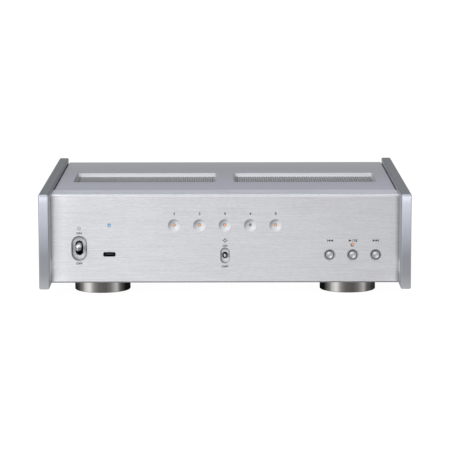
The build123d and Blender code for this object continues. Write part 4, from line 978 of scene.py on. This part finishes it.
# %% Circuit boards
def board_green():
    paint = Paint("board_green")
    patch = paint.noise((1, 1, 1), 70.0)
    pace = 2.6
    bars = (paint.x * pace).math("SINE").step(0.2, 0.5)
    cross = (paint.y * pace).math("SINE").step(0.2, 0.5)
    tracks = bars * patch.step(0.52, 0.56) + cross * patch.step(0.48, 0.44)
    base = paint.mix(tracks, (0.012, 0.075, 0.030), (0.025, 0.14, 0.05))
    return paint.finish(
        base_color=base,
        roughness=0.36,
        normal=paint.bump(tracks, 0.03, 0.5),
    )


wear(["control_board", "main_board", "supply_board", "streaming_module"], board_green())
wear(["ribbon_cable"], moulded("ribbon_grey", (0.33, 0.33, 0.34), 0.5, 600.0))
print("boards and ribbon are on")

# %% [markdown]
# The transformer is wound round a ring and taped. Tape laid round a ring shows as
# overlapping strips that point at its middle, so their edges follow the angle.
# The capacitors wear a printed sleeve, and their tops are bare, scored metal.

# %% Transformer and capacitors
def wound_transformer():
    paint = Paint("transformer_wrap")
    low, high = box_of("transformer")
    middle = (low + high) / 2
    strips, slant = 46, 0.03
    turn = (paint.y - middle.y).math("ARCTAN2", paint.x - middle.x)
    strip = (turn * (strips / math.tau) + paint.z * slant).math("FRACT")
    # Painted shade at each strip's lapped edge, and each strip painted lighter towards it.
    crease_shade = strip.step(0.88, 1.0)
    base = paint.tint((0.30, 0.20, 0.05), 0.8 + strip * 0.4 - crease_shade * 0.4)
    return paint.finish(
        base_color=base,
        roughness=0.34,
        coat_weight=0.3,
        normal=paint.bump(strip - crease_shade, 0.2, 0.6),
    )


def capacitor_sleeve():
    paint = Paint("capacitor_sleeve")
    top_z = box_of("filter_capacitors")[1].z
    cap = paint.z.step(top_z - 0.9, top_z - 0.6)
    grain = paint.speckle(900.0)
    sleeve = paint.tint((0.035, 0.036, 0.05), 1.0 + grain * 0.4)
    base = paint.mix(cap, sleeve, (0.62, 0.62, 0.61))
    return paint.finish(base_color=base, metallic=cap, roughness=0.36 + grain * 0.1)


wear(["transformer"], wound_transformer())
wear(["filter_capacitors"], capacitor_sleeve())
dressed = sum(1 for node in nodes.values() if node.data.materials)
print("nodes with a finish:", dressed, "of", len(nodes))

# %% [markdown]
# Words and signs are screen printed in dark grey ink. They are made from text
# curves, turned into thin meshes and scaled to the width and height that they
# have on the panel. Only ON and OFF, numbers and the usual signs are printed.
# The ink stands a few hundredths of a millimetre proud of the metal.

# %% Printing ink and words
def printing_ink():
    paint = Paint("printing_ink")
    fade = paint.noise((1, 1, 1), 2500.0)
    base = paint.mix(fade, (0.012, 0.012, 0.013), (0.035, 0.035, 0.037))
    return paint.finish(base_color=base, roughness=0.6 + fade * 0.1)


ink = printing_ink()
ink_thickness = 0.03


def fitted(points, middle, size, upright):
    """Scales flat points (u, v) into a box about middle and stands them on a face."""
    us = [p[0] for p in points]
    vs = [p[1] for p in points]
    wide = (max(us) - min(us)) or 1.0
    tall = (max(vs) - min(vs)) or 1.0
    scale = (size[0] / wide, size[1] / tall)
    centre = ((max(us) + min(us)) / 2, (max(vs) + min(vs)) / 2)
    return [
        upright(
            middle[0] + (u - centre[0]) * scale[0],
            middle[1] + (v - centre[1]) * scale[1],
            depth,
        )
        for u, v, depth in points
    ]


def on_front(x, z, raised):
    return (x, face_y - raised * ink_thickness, z)


def printed_word(name, text, middle, size, upright=on_front):
    """A word as a thin mesh, size (width, height) in millimetres."""
    curve = bpy.data.curves.new(name, "FONT")
    curve.body = text
    curve.size = 1.0
    curve.extrude = 0.5
    curve.offset = 0.035  # a little bolder than the plain typeface
    curve.resolution_u = 3
    holder = bpy.data.objects.new(name, curve)
    bpy.context.scene.collection.objects.link(holder)
    bpy.context.view_layer.update()
    flat = bpy.data.meshes.new_from_object(holder)
    bpy.data.objects.remove(holder)
    points = [(v.co.x, v.co.y, v.co.z + 0.5) for v in flat.vertices]
    faces = [tuple(face.vertices) for face in flat.polygons]
    piece(name, fitted(points, middle, size, upright), faces, "case", ink)


printed_word("word_power_on", "ON", (power_x, 50.15), (4.1, 1.7))
printed_word("word_power_off", "OFF", (power_x, 26.0), (4.9, 1.75))
printed_word("word_dimmer_on", "ON", (dimmer_x, 40.0), (3.8, 1.65))
printed_word("word_dimmer_off", "OFF", (dimmer_x, 23.5), (5.3, 1.75))
number_z, number_height = 65.6, 2.1
for number, x in enumerate(dimple_x, 1):
    width = 0.7 if number == 1 else 1.5
    printed_word(f"number_{number}", str(number), (x, number_z), (width, number_height))
print("words printed on the front")

# %% [markdown]
# The signs over the buttons and the dimmer's little sun are outlines: a list of
# corners in units of the sign's height, given thickness by the same helper.

# %% Printed signs
def printed_sign(name, outlines, middle, height):
    """Flat shapes, each a list of corners in turn, as one thin mesh."""
    points, faces = [], []
    for outline in outlines:
        base, count = len(points), len(outline)
        for depth in (0.0, 1.0):
            for u, v in outline:
                place = (middle[0] + u * height, middle[1] + v * height)
                points.append(on_front(*place, depth))
        faces.append(tuple(base + k for k in reversed(range(count))))
        faces.append(tuple(base + count + k for k in range(count)))
        for k in range(count):
            n = (k + 1) % count
            faces.append((base + k, base + n, base + count + n, base + count + k))
    piece(name, points, faces, "case", ink)


def bar(u0, u1, v0=-0.5, v1=0.5):
    return [(u0, v0), (u1, v0), (u1, v1), (u0, v1)]


def arrow(u0, u1):
    """A triangle with its back at u0 and its tip at u1."""
    if u1 > u0:
        return [(u0, -0.5), (u1, 0.0), (u0, 0.5)]
    return [(u0, 0.5), (u1, 0.0), (u0, -0.5)]


def arc(radius, line, start, stop):
    """Part of a ring between two angles in degrees, as short straight bits."""
    parts = math.ceil((stop - start) / 15)
    turns = [math.radians(start + (stop - start) * k / parts) for k in range(parts + 1)]
    shapes = []
    for a, b in zip(turns, turns[1:]):
        ring = [(radius, a), (radius + line, a), (radius + line, b), (radius, b)]
        shapes.append([(r * math.cos(t), r * math.sin(t)) for r, t in ring])
    return shapes


def sun(radius, line, rays, reach):
    """A ring with rays round it."""
    shapes = arc(radius, line, 0, 360)
    start = radius + line + reach * 0.35
    ray = bar(start, start + reach, -line / 2, line / 2)
    for k in range(rays):
        c, s = math.cos(math.tau * k / rays), math.sin(math.tau * k / rays)
        shapes.append([(c * u - s * v, s * u + c * v) for u, v in ray])
    return shapes


sign_z, sign_height = 44.1, 1.95
sign_x = [82.9, 100.9, 118.9]
previous = [bar(-1.24, -0.98), arrow(0.1, -0.98), arrow(1.24, 0.1)]
following = [[(-u, v) for u, v in reversed(shape)] for shape in previous]
play_pause = [arrow(-1.68, -0.42), bar(0.62, 1.0), bar(1.28, 1.68)]
play_pause.append([(-0.32, -0.5), (-0.08, -0.5), (0.38, 0.5), (0.14, 0.5)])
printed_sign("sign_previous", previous, (sign_x[0], sign_z), sign_height)
printed_sign("sign_play_pause", play_pause, (sign_x[1], sign_z), sign_height)
printed_sign("sign_next", following, (sign_x[2], sign_z), sign_height)
printed_sign("sign_dimmer", sun(0.27, 0.17, 4, 0.2), (dimmer_x, 44.2), 2.9)
power_sign = arc(0.36, 0.12, 125, 415) + [bar(-0.06, 0.06, 0.1, 0.58)]
printed_sign("sign_power", power_sign, (power_x, 54.0), 2.6)
print("signs printed on the front")

# %% [markdown]
# The rear sockets get plain numbers, one to each. From behind, left and right
# change places, so these words are built with a negative width. The network
# socket also gets its eight gilt springs, each a flat wire that rises inwards.

# %% Rear numbers and contact springs
rear_face_y = box_of("rear_panel")[1].y
rear_sockets = [
    "ethernet_socket",
    "fibre_cage",
    "usb_a_socket",
    "coaxial_output",
    "optical_output",
    "clock_input",
]


def on_rear(x, z, raised):
    return (x, rear_face_y + raised * ink_thickness, z)


number_rise, number_height = 3.0, 2.5
for number, node in enumerate(rear_sockets, 1):
    low, high = box_of(node)
    width = 0.8 if number == 1 else 1.8
    middle = ((low.x + high.x) / 2, high.z + number_rise)
    size = (-width, number_height)
    printed_word(f"rear_number_{number}", str(number), middle, size, on_rear)


def flat_wires(name, places, outer, inner, wide, thick, material):
    """Wires side by side, each from an outer (y, z) to an inner one."""
    points, faces = [], []
    for x in places:
        base = len(points)
        for y, z in (outer, inner):
            points.extend([(x - wide / 2, y, z), (x + wide / 2, y, z)])
            points.extend([(x + wide / 2, y, z + thick), (x - wide / 2, y, z + thick)])
        for k in range(4):
            n = (k + 1) % 4
            faces.append((base + k, base + n, base + n + 4, base + k + 4))
        faces.extend([(base + 3, base + 2, base + 1, base), tuple(range(base + 4, base + 8))])
    piece(name, points, faces, "case", material)


gilt = metal("gilt_springs", (0.86, 0.62, 0.26), 0.24, 800.0, depth=0.1)
low, high = box_of("ethernet_socket")
spring_count, spring_pitch = 8, 1.02
spring_width, spring_thickness = 0.46, 0.3
first_spring_x = (low.x + high.x - (spring_count - 1) * spring_pitch) / 2
spring_x = [first_spring_x + k * spring_pitch for k in range(spring_count)]
outer, inner = (high.y - 2.0, low.z + 2.15), (high.y - 10.5, low.z + 5.0)
flat_wires("ethernet_springs", spring_x, outer, inner, spring_width, spring_thickness, gilt)
print("rear numbers and springs:", len(rear_sockets), "and", len(spring_x))

# %% [markdown]
# The camera stands where the photographer's did. Its place, tilt and long lens were
# found by fitting the edges of the object in the picture: about two metres
# away, a little above the front panel and tipped down by eight and a half
# degrees. A long lens keeps the two side plates nearly parallel.

# %% Camera
camera_data = bpy.data.cameras.new("camera")
camera = bpy.data.objects.new("camera", camera_data)
bpy.context.scene.collection.objects.link(camera)
bpy.context.scene.camera = camera
pitch, yaw, roll = 0.1473, -0.0009, -0.0017
camera_place = Vector((1.67, -1917.07, 326.45)) * MM
ahead = Vector(
    (math.sin(yaw) * math.cos(pitch), math.cos(yaw) * math.cos(pitch), -math.sin(pitch))
)
right = Vector((math.cos(yaw), -math.sin(yaw), 0.0))
upward = right.cross(ahead)
tilted_right = right * math.cos(roll) + upward * math.sin(roll)
tilted_up = upward * math.cos(roll) - right * math.sin(roll)
turn = Matrix((tilted_right, tilted_up, -ahead)).transposed()
camera.matrix_world = Matrix.Translation(camera_place) @ turn.to_4x4()
picture_width, focal_pixels = 450, 2333.31
camera_data.sensor_width = 36.0
camera_data.lens = camera_data.sensor_width * focal_pixels / picture_width
camera_data.clip_start, camera_data.clip_end = 0.05, 60.0
print("lens", round(camera_data.lens, 1), "mm")

# %% [markdown]
# A white sweep is plain studio practice: a big pale floor, which the camera and
# every polished surface sees as white, but which still takes the object's soft
# shadow. The share of its own light is what lifts it to white without adding
# light to the object.

# %% Floor
def seen_directly(paint):
    """1 for rays of the camera, of gloss and through clear materials, else 0."""
    rays = [
        paint.add("ShaderNodeLightPath", {}, {}, name)
        for name in ("Is Camera Ray", "Is Glossy Ray", "Is Transmission Ray")
    ]
    return rays[0].most(rays[1]).most(rays[2])


def pale_floor():
    paint = Paint("pale_floor")
    dull = paint.add("ShaderNodeBsdfDiffuse", {}, {"Color": (0.86, 0.86, 0.86, 1.0)})
    white = paint.add("ShaderNodeEmission", {}, {"Color": (1, 1, 1, 1), "Strength": 1.07})
    share = seen_directly(paint) * 0.9
    surface = paint.add("ShaderNodeMixShader", {}, {0: share, 1: dull, 2: white})
    paint.close("ShaderNodeOutputMaterial", surface)
    return paint.material


reach = 30.0
floor_mesh = bpy.data.meshes.new("floor")
floor_mesh.from_pydata(
    [(-reach, -reach, 0), (reach, -reach, 0), (reach, reach, 0), (-reach, reach, 0)],
    [],
    [(0, 1, 2, 3)],
)
floor_mesh.materials.append(pale_floor())
floor = bpy.data.objects.new("floor", floor_mesh)
bpy.context.scene.collection.objects.link(floor)
floor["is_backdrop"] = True
print("floor", reach * 2, "m square")

# %% [markdown]
# The light is soft and comes from the front, upper left: the dished lights are
# dark on that side and bright on the other, partly from the lamps and partly
# from the panel's painted shade. A big lamp there models the shapes, a weaker one
# on the right opens the shadows, and a third from above lights the panel's top
# edge, where a painted highlight line adds to it. The room itself is a quiet grey
# that grows lighter towards the ceiling.

# %% Lamps and room
def soft_lamp(name, place, aim, width, height, power, tint=(1.0, 1.0, 1.0)):
    lamp_data = bpy.data.lights.new(name, "AREA")
    lamp_data.shape = "RECTANGLE"
    lamp_data.size, lamp_data.size_y = width, height
    lamp_data.energy = power
    lamp_data.color = tint
    lamp = bpy.data.objects.new(name, lamp_data)
    bpy.context.scene.collection.objects.link(lamp)
    lamp.location = Vector(place)
    lamp.rotation_mode = "QUATERNION"
    lamp.rotation_quaternion = (Vector(aim) - Vector(place)).to_track_quat("-Z", "Y")


middle = (0.0, 0.0, 0.04)
soft_lamp("key_lamp", (-0.75, -1.05, 0.75), (-0.02, 0.0, 0.04), 0.6, 0.6, 8.5)
soft_lamp("fill_lamp", (1.1, -1.0, 0.45), middle, 0.7, 0.5, 2.0)
soft_lamp("top_lamp", (0.0, -0.1, 1.3), middle, 1.0, 0.5, 3.0, (0.95, 0.97, 1.0))

world = bpy.data.worlds.new("room")
world.use_nodes = True
bpy.context.scene.world = world
room = Graph(world.node_tree)
direction = room.add("ShaderNodeTexCoord", {}, {}, "Generated")
height = room.add("ShaderNodeSeparateXYZ", {}, {"Vector": direction}, "Z")
walls = room.mix(height.step(0.05, 0.9), (0.42, 0.42, 0.43), (0.74, 0.75, 0.78))
room.close("ShaderNodeOutputWorld", room.add("ShaderNodeBackground", {}, {"Color": walls}))
bpy.context.scene.view_settings.view_transform = "Standard"

# %% Visual size
low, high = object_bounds()
print("visual size", [round(v, 4) for v in high - low])
